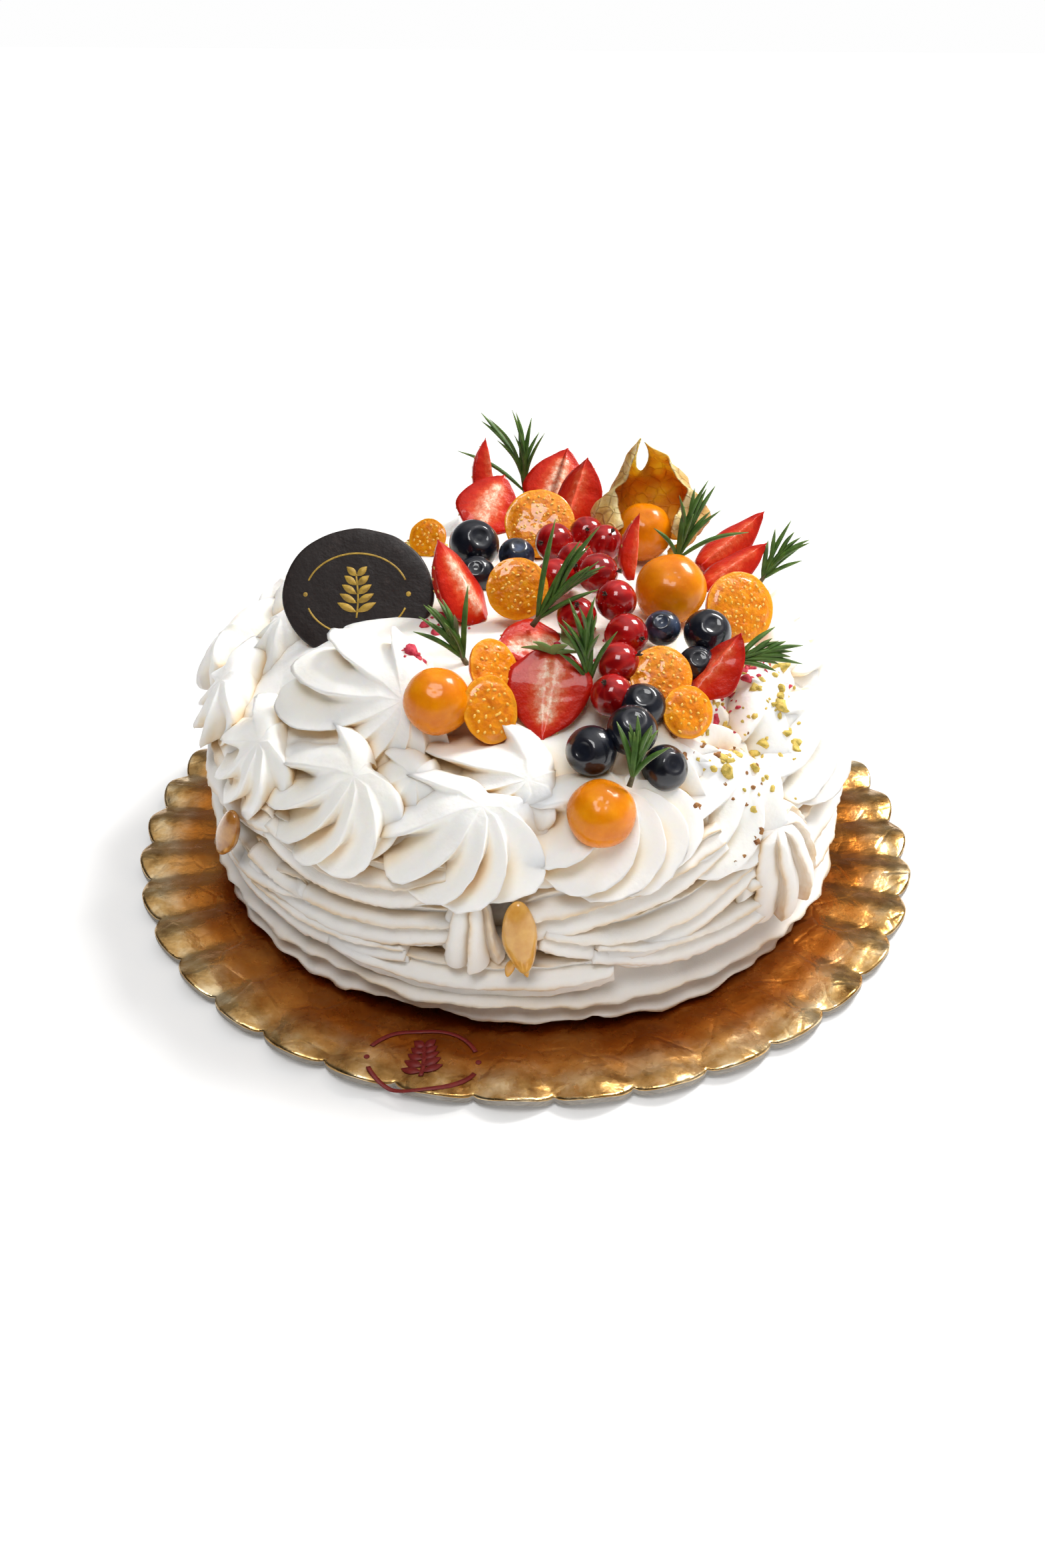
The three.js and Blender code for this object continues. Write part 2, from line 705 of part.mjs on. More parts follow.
// The plain oval plaque of dark chocolate, tilted back and sunk behind the big rosette.
const PLAQUE = { wide: 41, tall: 35, thick: 2.4 };
topping('chocolate_plaque', 'chocolate', (grow) => {
  const outline = new THREE.Shape();
  outline.absellipse(0, 0, PLAQUE.wide / 2 + grow, PLAQUE.tall / 2 + grow, 0, 2 * Math.PI);
  const flat = { depth: PLAQUE.thick + 2 * grow, bevelEnabled: false, curveSegments: 10 };
  const disc = new THREE.ExtrudeGeometry(outline, flat).translate(0, 0, -PLAQUE.thick / 2 - grow);
  return mergeVertices(stripped(disc)).applyMatrix4(frameAt(v(-45, -17, 86), aim(-8, 32), 4));
});

// Whole physalis fruit.
const WHOLE_PHYSALIS = [
  { at: v(-20.7, -64.5, 80.5), across: PHYSALIS + 0.3 },
  { at: v(17, -87.5, 65), across: PHYSALIS },
  { at: v(37.5, -21, 90), across: PHYSALIS + 3, tall: 0.86 },
  { at: v(33.5, 18.5, 90.5), across: PHYSALIS + 1 },
];
WHOLE_PHYSALIS.forEach((spec, i) => topping(`physalis_whole_${i + 1}`, 'physalis', roundFruit(spec)));

// Cut physalis, most of them halves that show their seeds.
const CUT_PHYSALIS = [
  { at: v(-7.5, -57, 85), across: 12.5, axis: aim(35, 35), squash: 1.2 },
  { at: v(-8.3, -67, 79.8), across: 13, axis: aim(20, 30), squash: 1.25 },
  { at: v(-2.5, -26, 92), across: 16, axis: aim(5, 30) },
  { at: v(3.5, 21, 92), across: 20.5, axis: aim(0, 40) },
  { at: v(32, -57, 83.5), across: 15, axis: aim(5, 42) },
  { at: v(37.5, -67, 79.5), across: 12.5, axis: aim(20, 35) },
  { at: v(56, -22, 85.5), across: 19, axis: aim(20, 35) },
  { at: v(-29.5, 22, 87), across: 11.5, axis: aim(-20, 35) },
];
CUT_PHYSALIS.forEach((spec, i) => topping(`physalis_cut_${i + 1}`, 'physalis', halfFruit(spec)));

const BLUEBERRIES = [
  { at: v(-15, 8, 90.5), across: 14.2, axis: aim(25, 40) },
  { at: v(-3, 1.5, 90), across: 10, axis: aim(10, 60) },
  { at: v(-14, -4, 86.5), across: BLUEBERRY },
  { at: v(34, -37, 86.5), across: 9.2, axis: aim(-20, 50) },
  { at: v(45, -39.5, 86.5), across: 12.1, axis: aim(10, 50) },
  { at: v(27, -66, 80.5), across: 11, axis: aim(0, 60) },
  { at: v(24, -75, 79.2), across: BLUEBERRY + 1.3, axis: aim(0, 60) },
  { at: v(14.7, -77.5, 75.2), across: BLUEBERRY + 1.3, axis: aim(-30, 30) },
  { at: v(31.8, -77.5, 70.8), across: BLUEBERRY + 0.3, axis: aim(30, 40) },
  { at: v(41.5, -49, 82.5), across: 9.4 },
];
BLUEBERRIES.forEach((spec, i) => topping(
  `blueberry_${i + 1}`, 'blueberry', roundFruit({ tall: 0.9, dimple: 0.07, sides: [8, 5], ...spec })));

const CURRANTS = [
  v(7.5, 5, 92.5), v(17, 13.5, 91.5), v(21.5, 4.5, 92.5), v(18.5, -17, 92.5), v(22.5, -30.5, 91),
  v(12.5, -35, 88.5), v(24.5, -42.5, 87), v(22, -53.5, 85), v(20, -63, 81.5), v(13, -8, 92), v(7.5, -15.5, 90.5),
];
CURRANTS.forEach((at, i) => topping(
  `redcurrant_${i + 1}`, 'currant', roundFruit({ at, across: CURRANT - 0.3 * (i % 3), sides: [7, 4] })));

const STRAWBERRIES = [
  { at: v(-17, -22, 92.5), along: aim(-110, 58), facing: aim(60, 30), long: 24, wide: 16, open: 150 },
  { at: v(5, -60, 79.5), along: aim(-10, -50), facing: aim(-5, 38), long: 22, wide: 20, open: 190 },
  { at: v(1, -41, 83.5), along: aim(-60, 12), facing: aim(0, 60), long: 20, wide: 16, open: 180 },
  { at: v(45.5, -54, 85.5), along: aim(118, 46), facing: aim(-50, 30), long: 18, wide: 14, open: 130 },
  { at: v(-11.5, 44, 90.5), along: aim(150, 35), facing: aim(10, 45), long: 21, wide: 19, open: 170 },
  { at: v(-12, 57, 96), along: aim(-160, 65), facing: aim(60, 10), long: 20, wide: 12, open: 120 },
  { at: v(9.5, 54, 94.5), along: aim(160, 40), facing: aim(0, 40), long: 22, wide: 20, open: 160 },
  { at: v(15, 38, 96.5), along: aim(150, 55), facing: aim(-25, 25), long: 20, wide: 16, open: 130 },
  { at: v(59.5, 18, 89), along: aim(120, 30), facing: aim(0, 60), long: 25, wide: 13, open: 120 },
  { at: v(58.5, 4, 87), along: aim(115, 25), facing: aim(0, 60), long: 22, wide: 12, open: 120 },
  { at: v(29.5, -4, 95), along: aim(170, 70), facing: aim(70, 10), long: 18, wide: 9, open: 110 },
];
STRAWBERRIES.forEach((spec, i) => topping(`strawberry_${i + 1}`, 'strawberry', wedgeFruit(spec)));

topping('physalis_husk', 'husk', husk({ at: v(35.5, 22, 86), radius: 16.5, height: 29.5 }));

// Sprigs of rosemary; each needle is its turn, rise and length.
const SPRIGS = [
  {
    at: v(-15.5, -46, 82),
    needles: [[-110, 40, 15], [-98, 28, 14], [-128, 60, 16], [170, 72, 18], [-80, 66, 11]],
  },
  { at: v(2.5, -37, 88.5), needles: [[140, 72, 25], [115, 56, 21], [98, 44, 21], [92, 28, 17]] },
  {
    at: v(15, -57, 81),
    needles: [[-150, 66, 21], [-100, 64, 18], [172, 76, 20], [95, 66, 15], [-80, 50, 12]],
  },
  { at: v(23.5, -86, 73.5), needles: [[-140, 60, 13], [150, 72, 11], [130, 50, 12], [90, 45, 11]] },
  { at: v(51, -48, 83), needles: [[120, 32, 13], [95, 16, 12], [85, 2, 16], [70, -6, 10]] },
  {
    at: v(41, -4, 91.5),
    needles: [[130, 66, 22], [170, 75, 14], [105, 50, 17], [95, 22, 20], [-100, 50, 11]],
  },
  { at: v(67, 6, 81.5), needles: [[130, 58, 18], [108, 38, 15], [88, 30, 12], [170, 62, 11]] },
  {
    at: v(-1, 60, 88),
    needles: [[-115, 80, 26], [150, 80, 23], [90, 72, 20], [-100, 28, 25]],
    wide: 2.6,
  },
];
SPRIGS.forEach((spec, i) => topping(`rosemary_${i + 1}`, 'rosemary', sprig(spec)));

// Caramel that runs out from between the base and the cream.
function caramelDrop({ at, axis, across, long, deep, slant }) {
  return (grow) => ball(8, 6, (point) => {
    point.x *= (1 - 0.3 * Math.max(0, -point.y)) * (across / 2 + grow);
    point.y *= long / 2 + grow;
    point.z *= deep / 2 + grow;
  }).applyMatrix4(frameAt(at, axis, slant));
}
topping('caramel_front', 'caramel', caramelDrop(
  { at: v(-0.9, -95.5, 35), axis: aim(2, 8), across: 8.4, long: 20, deep: 6, slant: 4 }));
topping('caramel_left', 'caramel', caramelDrop(
  { at: v(-76.5, -60, 38.5), axis: aim(-52, 10), across: 8, long: 17, deep: 5, slant: -24 }));

// Crumbs that show from a step away, fused to the cream: distance out, direction and size.
const CRUMBS = [
  [58, -119, 4.4], [55, -114, 4], [73, -54, 5], [72, -50, 3.8], [67, -40, 4.4], [65, -34, 3.4],
  [76, -49, 3.6], [84, -64, 3.2], [85, -56, 3.4], [82, -48, 3.4], [80, -37, 4.6], [74, -27, 4],
  [50, -165, 4.4],
];

function crumb([out, degrees, size], top) {
  const place = polar(out, degrees, ABOVE);
  const ray = new THREE.Raycaster(place, new THREE.Vector3(0, 0, -1));
  const [hit] = ray.intersectObject(new THREE.Mesh(top));
  const lump = mergeVertices(stripped(new THREE.IcosahedronGeometry(size / 2)));
  lump.scale(1, 0.8, 0.7).rotateZ(out + size).rotateY(size);
  return lump.translate(place.x, place.y, hit.point.z + size * 0.12);
}

// ---------------------------------------------------------------- assembly

function meshOf(name, colour, geometry) {
  const [color, roughness, metalness] = COLOURS[colour];
  const mesh = new THREE.Mesh(geometry, new THREE.MeshStandardMaterial({ color, roughness, metalness }));
  mesh.name = name;
  return mesh;
}

function clearOf(solid, pieces) {
  return pieces.reduce((left, piece) => left.subtract(piece), solid);
}

function boxOf(solid) {
  const places = new THREE.BufferAttribute(solid.getMesh().vertProperties, 3);
  return new THREE.Box3().setFromBufferAttribute(places);
}

function touching(one, other) {
  return boxOf(one).intersectsBox(boxOf(other));
}

function asSolid(shape) {
  return shape.isBufferGeometry ? solidOf(shape) : shape;
}

const pavlova = new THREE.Group();
pavlova.name = 'pavlova';
pavlova.add(meshOf('cake_board', 'card', card()));

// Each topping is cut clear of the cream body that it lies on and of the toppings before it.
const bodyGap = solidOf(body(GAP));
const grown = [];
toppings.forEach(({ name, colour, maker }) => {
  const solid = asSolid(maker(0));
  const near = [bodyGap, ...grown].filter((other) => touching(solid, other));
  pavlova.add(meshOf(name, colour, mainBody(clearOf(solid, near))));
  grown.push(asSolid(maker(GAP)));
});

// The toppings press their shapes into the rosettes, and the caramel into the base.
const piped = solidOf(thinned(mainBody(rosettes()), COARSE));
const pressed = clearOf(piped, grown.filter((piece) => touching(piece, piped)));
const plain = mainBody(pressed.add(solidOf(body(0))).subtract(solidOf(belowCream(GAP))));
const lumps = joined(CRUMBS.map((spec) => crumb(spec, plain)));
const cream = solidOf(plain).add(clearOf(lumps, grown.filter((piece) => touching(piece, lumps))));
pavlova.add(meshOf('cream_swirls', 'cream', thinned(mainBody(cream), FLAT)));

const caramel = grown.filter((_, i) => toppings[i].colour === 'caramel');
const base = solidOf(thinned(mainBody(meringueBase()), COARSE));
pavlova.add(meshOf('meringue_base', 'base', thinned(mainBody(clearOf(base, caramel)), FLAT)));

export default pavlova;
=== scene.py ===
"""A fruit pavlova on its scalloped gold card. Shapes are in millimetres and scaled to metres."""
import bmesh
import bpy
import math
from math import cos, exp, hypot, pi, radians, sin, sqrt
from mathutils import Matrix, Vector, noise
from mathutils.bvhtree import BVHTree


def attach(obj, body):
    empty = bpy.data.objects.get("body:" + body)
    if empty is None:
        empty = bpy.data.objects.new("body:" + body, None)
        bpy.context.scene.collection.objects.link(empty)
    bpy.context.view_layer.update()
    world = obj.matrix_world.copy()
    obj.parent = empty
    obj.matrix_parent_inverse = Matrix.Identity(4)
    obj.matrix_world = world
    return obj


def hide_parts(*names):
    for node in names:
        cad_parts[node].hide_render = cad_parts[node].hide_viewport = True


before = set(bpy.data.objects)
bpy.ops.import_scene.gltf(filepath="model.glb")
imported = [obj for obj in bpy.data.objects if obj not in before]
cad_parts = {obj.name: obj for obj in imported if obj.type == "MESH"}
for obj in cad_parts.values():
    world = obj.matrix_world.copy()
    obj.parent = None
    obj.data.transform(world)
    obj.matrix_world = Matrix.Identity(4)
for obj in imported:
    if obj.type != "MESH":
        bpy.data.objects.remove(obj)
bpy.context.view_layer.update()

noise.seed_set(7)       # without a seed the noise vectors would start from the clock
MM = 0.001
UP = Vector((0, 0, 1))

# ---------------------------------------------------------------- driving dimensions

CARD = {"scallops": 38, "tip": 118, "valley": 115, "first": 27.3, "flat": 84, "thick": 2.4,
        "rise": 2.2, "flute": 1, "bend": 102}
BASE = {"bottom": 2.7, "wall": 94.5, "core": 83, "foot": 90}
CREAM = {"slots": 16, "first": -78, "ring": 83, "level": 58.5, "radius": 21, "low": 44.5,
         "body": [(90, 45.5), (84, 57), (72, 67.5), (60, 75.5), (45, 81.5), (0, 83.5)]}
PLAQUE = {"wide": 41, "tall": 35, "thick": 2.4}
PHYSALIS = 15.5
BLUEBERRY = 10.5
CURRANT = 10.8

# ---------------------------------------------------------------- small helpers


def v(x, y, z):
    return Vector((x, y, z))


def lerp(a, b, part):
    return a + (b - a) * part


def smooth(x, low, high):
    part = min(1, max(0, (x - low) / (high - low)))
    return part * part * (3 - 2 * part)


def sine(degrees):
    return sin(radians(degrees))


def cosine(degrees):
    return cos(radians(degrees))


def bell(x, middle, wide):
    """1 at the middle, falling off to both sides."""
    return exp(-((x - middle) / wide) ** 2)


def turns(count):
    """Angles in radians, spread evenly round a circle."""
    return [2 * pi * i / count for i in range(count)]


def spread(count):
    """Count equal steps from 0 to 1, both included."""
    return [i / count for i in range(count + 1)]


def seeded(seed):
    """The same numbers between 0 and 1 on every run."""
    span = 2 ** 32
    state = seed * 2654435761 % span

    def draw():
        nonlocal state
        state = (state * 1664525 + 1013904223) % span
        return state / span
    return draw


def polar(radius, degrees, z):
    return v(radius * cosine(degrees), radius * sine(degrees), z)


def bearing(point):
    return math.degrees(math.atan2(point.y, point.x))


def aim(turn, rise):
    """A direction: turn 0 looks out of the front, 90 to the right; rise is measured from level."""
    return v(sine(turn) * cosine(rise), -cosine(turn) * cosine(rise), sine(rise))


def frame_at(at, axis, spin=0):
    """Local Z points along the axis, and X is level."""
    z = axis.normalized()
    x = UP.cross(z)
    if x.length < 1e-3:
        x = v(1, 0, 0)
    x.normalize()
    turned_to = Matrix((x, z.cross(x), z)).transposed().to_4x4() @ Matrix.Rotation(radians(spin), 4, "Z")
    return Matrix.Translation(at) @ turned_to


def turn_only(matrix):
    return matrix.to_3x3().to_4x4()


def spline(values, part):
    """A smooth curve through evenly spaced values."""
    place = min(max(part, 0), 1) * (len(values) - 1)
    i = min(int(place), len(values) - 2)
    t = place - i
    a, b, c, d = (values[min(max(j, 0), len(values) - 1)] for j in (i - 1, i, i + 1, i + 2))
    return b + 0.5 * t * (c - a + t * (2 * a - 5 * b + 4 * c - d + t * (3 * (b - c) + d - a)))


def wobble(point, wave, amount, shift=0):
    """A smooth random push of up to about the given amount, over the given wave length."""
    return noise.noise_vector(point / wave + v(shift, shift * 0.7, -shift)) * amount


def link(name, data):
    made = bpy.data.objects.new(name, data)
    bpy.context.collection.objects.link(made)
    return made


class Skin:
    """Points, faces and marks of one mesh. A mark is three numbers that a material may read."""

    def __init__(self):
        self.points = []
        self.faces = []
        self.slots = []
        self.marks = []

    def loft(self, rows, slot=0, ends=(None, None)):
        """A skin over loops of equally many points, each alone or with its mark. Both ends are closed
        towards the given points, or towards their middles, and without ends they stay open."""
        around = len(rows[0])
        pairs = [item if isinstance(item, tuple) else (item, (0, 0, 0)) for row in rows for item in row]
        faces = []
        for row in range(len(rows) - 1):
            for step in range(around):
                a = row * around + step
                b = row * around + (step + 1) % around
                faces.append((a, b, b + around, a + around))
        for row, end in zip((0, len(rows) - 1), ends):
            loop = pairs[row * around:(row + 1) * around]
            if end is None:
                end = sum((point for point, _ in loop), Vector()) / around
            pairs.append((end, loop[0][1]))
            for step in range(around):
                faces.append((len(pairs) - 1, row * around + step, row * around + (step + 1) % around))
        start = len(self.points)
        self.points += [point for point, _ in pairs]
        self.marks += [mark for _, mark in pairs]
        self.faces += [[start + i for i in face] for face in faces]
        self.slots += [slot] * len(faces)

    def dress(self, start, end, slot):
        """Give the faces from start up to end another material slot."""
        self.slots[start:end] = [slot] * (end - start)

    def build(self, name, materials, slot, *nodes):
        mesh = bpy.data.meshes.new(name)
        mesh.from_pydata([point * MM for point in self.points], [], self.faces)
        for material in materials:
            mesh.materials.append(material)
        mesh.polygons.foreach_set("material_index", self.slots)
        mesh.polygons.foreach_set("use_smooth", [True] * len(self.faces))
        marks = mesh.attributes.new("mark", "FLOAT_COLOR", "POINT")
        marks.data.foreach_set("color", [value for mark in self.marks for value in (*mark, 1)])
        work = bmesh.new()
        work.from_mesh(mesh)
        bmesh.ops.recalc_face_normals(work, faces=work.faces)
        work.to_mesh(mesh)
        work.free()
        piece = link(name, mesh)
        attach(piece, "root")
        if nodes:
            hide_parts(*nodes)


def globe(skin, surface, around, rings, slot=0, ends=(None, None)):
    """A round closed skin; surface gives its point for a tilt from 0 to pi and a turn."""
    tilts = [pi * ring / rings for ring in range(1, rings)]
    skin.loft([[surface(tilt, turn) for turn in turns(around)] for tilt in tilts], slot, ends)


def ball(skin, at, size, matrix, around, rings, slot=0, rough=0, seed=0):
    """A closed ellipsoid; size is its three half widths."""
    def surface(tilt, turn):
        point = v(sin(tilt) * cos(turn) * size[0], sin(tilt) * sin(turn) * size[1], cos(tilt) * size[2])
        return at + matrix @ (point + wobble(point, max(size), rough, seed))
    globe(skin, surface, around, rings, slot, (surface(0, 0), surface(pi, 0)))


# ---------------------------------------------------------------- materials


class Nodes:
    """A node tree with a few shorthands for its nodes."""

    def __init__(self, tree, coordinates):
        self.tree = tree
        self.place = self.node("TexCoord").outputs[coordinates]

    def feed(self, socket, value):
        """Link a socket to another one, or set its value."""
        if isinstance(value, bpy.types.NodeSocket):
            self.tree.links.new(value, socket)
        else:
            socket.default_value = value

    def node(self, kind, inputs=None, **settings):
        made = self.tree.nodes.new("ShaderNode" + kind)
        for key, value in settings.items():
            setattr(made, key, value)
        for key, value in (inputs or {}).items():
            self.feed(made.inputs[key], value)
        return made

    def ramp(self, factor, *stops):
        made = self.node("ValToRGB", {"Fac": factor})
        elements = made.color_ramp.elements
        while len(elements) < len(stops):
            elements.new(0.5)
        for element, (place, colour) in zip(elements, stops):
            element.position = place
            element.color = (*colour, 1)
        return made.outputs["Color"]

    def level(self, factor, low, high, start=0.0, end=1.0):
        """The factor spread from low..high to start..end, clamped."""
        inputs = {"Value": factor, "From Min": low, "From Max": high, "To Min": start, "To Max": end}
        return self.node("MapRange", inputs).outputs["Result"]

    def mix(self, factor, one, other):
        made = self.node("Mix", {0: factor}, data_type="RGBA")
        for index, value in ((6, one), (7, other)):
            self.feed(made.inputs[index], (*value, 1) if isinstance(value, tuple) else value)
        return made.outputs[2]

    def math(self, operation, one, other):
        return self.node("Math", {0: one, 1: other}, operation=operation).outputs[0]

    def vector(self, operation, one, other=(0, 0, 0), output="Value"):
        return self.node("VectorMath", {0: one, 1: other}, operation=operation).outputs[output]


class Paint(Nodes):
    """A node material. Soft is its subsurface weight, depth in millimetres and reach by colour;
    coat is the weight and the roughness of a clear film; shine is the specular level."""

    def __init__(self, name, soft=None, coat=None, shine=0.5, **constants):
        self.material = bpy.data.materials.new(name)
        self.material.use_nodes = True
        super().__init__(self.material.node_tree, "Object")
        self.shader = self.tree.nodes["Principled BSDF"]
        if soft:
            self.set("Subsurface Weight", soft[0])
            self.set("Subsurface Scale", soft[1] * MM)
            self.set("Subsurface Radius", soft[2])
        if coat:
            self.set("Coat Weight", coat[0])
            self.set("Coat Roughness", coat[1])
        self.set("Specular IOR Level", shine)
        for socket, value in constants.items():
            self.set(socket.replace("_", " "), value)

    def set(self, socket, value):
        self.feed(self.shader.inputs[socket], value)

    def colour(self, value):
        self.set("Base Color", value)

    def noise(self, size, detail=3, rough=0.55, stretch=None):
        """Noise whose blobs are about size millimetres across."""
        place = self.place
        if stretch:
            place = self.node("Mapping", {"Vector": place, "Scale": stretch}).outputs["Vector"]
        inputs = {"Vector": place, "Scale": 1 / (size * MM), "Detail": detail, "Roughness": rough}
        return self.node("TexNoise", inputs).outputs["Fac"]

    def cells(self, size, feature="F1"):
        inputs = {"Vector": self.place, "Scale": 1 / (size * MM)}
        return self.node("TexVoronoi", inputs, feature=feature).outputs["Distance"]

    def mark(self, channel):
        colour = self.node("Attribute", attribute_name="mark").outputs["Color"]
        return self.node("SeparateColor", {"Color": colour}).outputs[channel]

    def open_air(self, reach):
        """1 where the surface lies open, lower in creases as deep as reach millimetres."""
        return self.node("AmbientOcclusion", {"Distance": reach * MM}, samples=8).outputs["AO"]

    def bump(self, height, deep, strength=1.0):
        """Relief of deep millimetres; may be called again to add finer relief."""
        inputs = {"Height": height, "Distance": deep * MM, "Strength": strength}
        before = self.shader.inputs["Normal"].links
        if before:
            inputs["Normal"] = before[0].from_socket
        self.set("Normal", self.node("Bump", inputs).outputs["Normal"])

    def grain(self, size, detail, deep, rough=0.55, strength=1.0):
        """Uneven relief, with blobs of size and bumps of deep millimetres."""
        self.bump(self.noise(size, detail, rough), deep, strength)


def blotched(name, blobs, dark, light, grain=None, low=0.3, **constants):
    """Two tones in blobs. The blobs are given as noise is, the grain with its depth."""
    paint = Paint(name, **constants)
    paint.colour(paint.ramp(paint.noise(*blobs), (low, dark), (1 - low, light)))
    if grain:
        paint.grain(*grain)
    return paint.material


def cream_paint():
    paint = Paint("cream", soft=(0.35, 4, (1, 0.75, 0.5)), Roughness=0.42, shine=0.45)
    # Painted shade: the cream is painted darker and warmer in its creases, where the AO node finds little
    # open air.
    shaded_cream = paint.ramp(paint.open_air(9), (0.15, (0.82, 0.60, 0.35)), (0.42, (0.92, 0.83, 0.70)),
                      (0.75, (0.95, 0.93, 0.895)))
    # Painted shade in the hollows between ridges: the green mark holds how deep each hollow is.
    hollow = paint.math("MULTIPLY", paint.math("POWER", paint.mark("Green"), 3.0), 0.18)
    shaded_cream = paint.mix(hollow, shaded_cream, (0.93, 0.80, 0.58))
    warm = paint.level(paint.noise(22, 2), 0.5, 0.72, 0, 0.35)
    paint.colour(paint.mix(warm, shaded_cream, (0.93, 0.87, 0.74)))
    paint.grain(7, 3, 0.5)
    paint.grain(1.1, 3, 0.09, 0.6)
    return paint.material


def meringue_paint():
    paint = Paint("meringue", soft=(0.2, 3, (1, 0.75, 0.5)), Roughness=0.6, shine=0.35)
    shade = paint.ramp(paint.open_air(7), (0.1, (0.66, 0.49, 0.31)), (0.4, (0.80, 0.73, 0.63)),
                       (0.75, (0.87, 0.845, 0.81)))
    patch = paint.level(paint.noise(14, 3), 0.36, 0.6, 0.2, 1)
    lips = paint.math("POWER", paint.mark("Red"), 2.0)
    toasted = paint.math("MULTIPLY", paint.math("MULTIPLY", lips, patch), 0.85)
    paint.colour(paint.mix(toasted, shade, (0.72, 0.50, 0.26)))
    paint.grain(4, 4, 0.3, 0.6)
    paint.grain(0.8, 3, 0.07, 0.65)
    return paint.material


def foil_paint():
    paint = Paint("foil", Metallic=1.0)
    out = paint.vector("LENGTH", paint.vector("MULTIPLY", paint.place, (1, 1, 0), "Vector"))
    # The gold is partly the foil's own colour and partly painted reflection: darker orange-brown in the
    # middle, where the foil reflects the cake and the dim room, and lighter gold at the rim.
    middle = paint.ramp(paint.noise(26, 5), (0.3, (0.34, 0.085, 0.010)), (0.5, (0.60, 0.21, 0.032)),
                        (0.7, (0.78, 0.36, 0.09)))
    edge = paint.ramp(paint.noise(8, 4), (0.32, (0.27, 0.13, 0.03)), (0.5, (0.60, 0.37, 0.14)),
                      (0.7, (0.90, 0.71, 0.43)))
    gold = paint.mix(paint.level(out, 0.103, 0.113), middle, edge)
    # Painted shade and painted reflection of the shaded base: the foil turns deep brown in its creases and
    # next to the cake.
    shade = paint.level(paint.open_air(22), 0.25, 0.95, 0.28, 1)
    paint.colour(paint.mix(shade, (0.10, 0.028, 0.004), gold))
    paint.set("Roughness", paint.level(paint.noise(5, 4), 0.3, 0.7, 0.16, 0.36))
    creases = paint.cells(13, "DISTANCE_TO_EDGE")
    paint.bump(paint.level(creases, 0, 0.06), 0.12, 0.6)
    paint.grain(6, 3, 0.5, strength=0.8)
    paint.grain(0.9, 2, 0.05, strength=0.6)
    return paint.material


def print_paint(name, colour, dull):
    paint = Paint(name, Roughness=0.55)
    paint.colour(paint.mix(paint.level(paint.noise(1.6, 4), 0.3, 0.7), dull, colour))
    paint.grain(0.8, 2, 0.04)
    return paint.material


def chocolate_paint():
    paint = Paint("chocolate", shine=0.4)
    scuffs = paint.level(paint.noise(3.5, 5, 0.7), 0.55, 0.75)
    paint.colour(paint.mix(scuffs, (0.0135, 0.0075, 0.0065), (0.036, 0.022, 0.019)))
    paint.set("Roughness", paint.level(paint.noise(6, 3), 0.3, 0.7, 0.42, 0.62))
    paint.grain(5, 3, 0.25)
    paint.grain(0.7, 3, 0.06)
    return paint.material


def physalis_paint():
    paint = Paint("physalis_skin", soft=(0.12, 2, (1, 0.4, 0.05)), coat=(0.3, 0.05), shine=0.15)
    mottle = paint.ramp(paint.noise(6, 4), (0.3, (0.62, 0.15, 0.0005)), (0.55, (0.74, 0.22, 0.001)),
                        (0.75, (0.82, 0.29, 0.003)))
    freckles = paint.level(paint.cells(1.6), 0.0, 0.25, 0.25, 0)
    paint.colour(paint.mix(freckles, mottle, (0.82, 0.36, 0.03)))
    paint.set("Roughness", paint.level(paint.noise(2, 3), 0.3, 0.7, 0.22, 0.34))
    paint.grain(1.6, 3, 0.05)
    return paint.material


def physalis_flesh_paint():
    paint = Paint("physalis_flesh", soft=(0.2, 3, (1, 0.45, 0.05)), coat=(0.7, 0.04), Roughness=0.3,
                  shine=0.2)
    pulp = paint.ramp(paint.noise(2.2, 4), (0.3, (0.62, 0.14, 0.0005)), (0.55, (0.80, 0.25, 0.001)),
                      (0.75, (0.88, 0.36, 0.005)))
    rim = paint.level(paint.mark("Red"), 0.78, 0.97)
    paint.colour(paint.mix(rim, pulp, (0.86, 0.34, 0.008)))
    paint.grain(3, 2, 0.7)
    paint.grain(1.0, 3, 0.25)
    return paint.material


def blueberry_paint(name, bloom):
    paint = Paint(name, coat=(0.8, 0.03), shine=0.2)
    dusty = paint.math("MULTIPLY", paint.level(paint.noise(4, 4), 0.38, 0.68), bloom)
    skin = paint.mix(dusty, (0.0025, 0.003, 0.007), (0.05, 0.075, 0.14))
    crown = paint.level(paint.mark("Green"), 0.2, 0.8)
    paint.colour(paint.mix(crown, skin, (0.012, 0.012, 0.018)))
    paint.set("Roughness", paint.level(paint.noise(3, 3), 0.3, 0.7, 0.28, 0.45))
    paint.grain(0.9, 3, 0.04)
    return paint.material


def currant_paint():
    paint = Paint("currant_skin", soft=(0.25, 3, (1, 0.04, 0.03)), coat=(0.7, 0.03), Roughness=0.16,
                  shine=0.2)
    skin = paint.ramp(paint.noise(5, 2), (0.3, (0.20, 0.0008, 0.002)), (0.7, (0.40, 0.003, 0.004)))
    stripes = paint.math("MULTIPLY", paint.mark("Red"), 0.45)
    paint.colour(paint.mix(stripes, skin, (0.72, 0.045, 0.03)))
    paint.grain(2, 2, 0.03)
    return paint.material


def strawberry_skin_paint():
    paint = Paint("strawberry_skin", soft=(0.12, 2, (1, 0.15, 0.1)), coat=(0.45, 0.1), Roughness=0.3,
                  shine=0.3)
    paint.colour(paint.ramp(paint.noise(5, 3), (0.3, (0.36, 0.007, 0.004)), (0.7, (0.60, 0.022, 0.008))))
    paint.grain(1.4, 3, 0.12)
    return paint.material


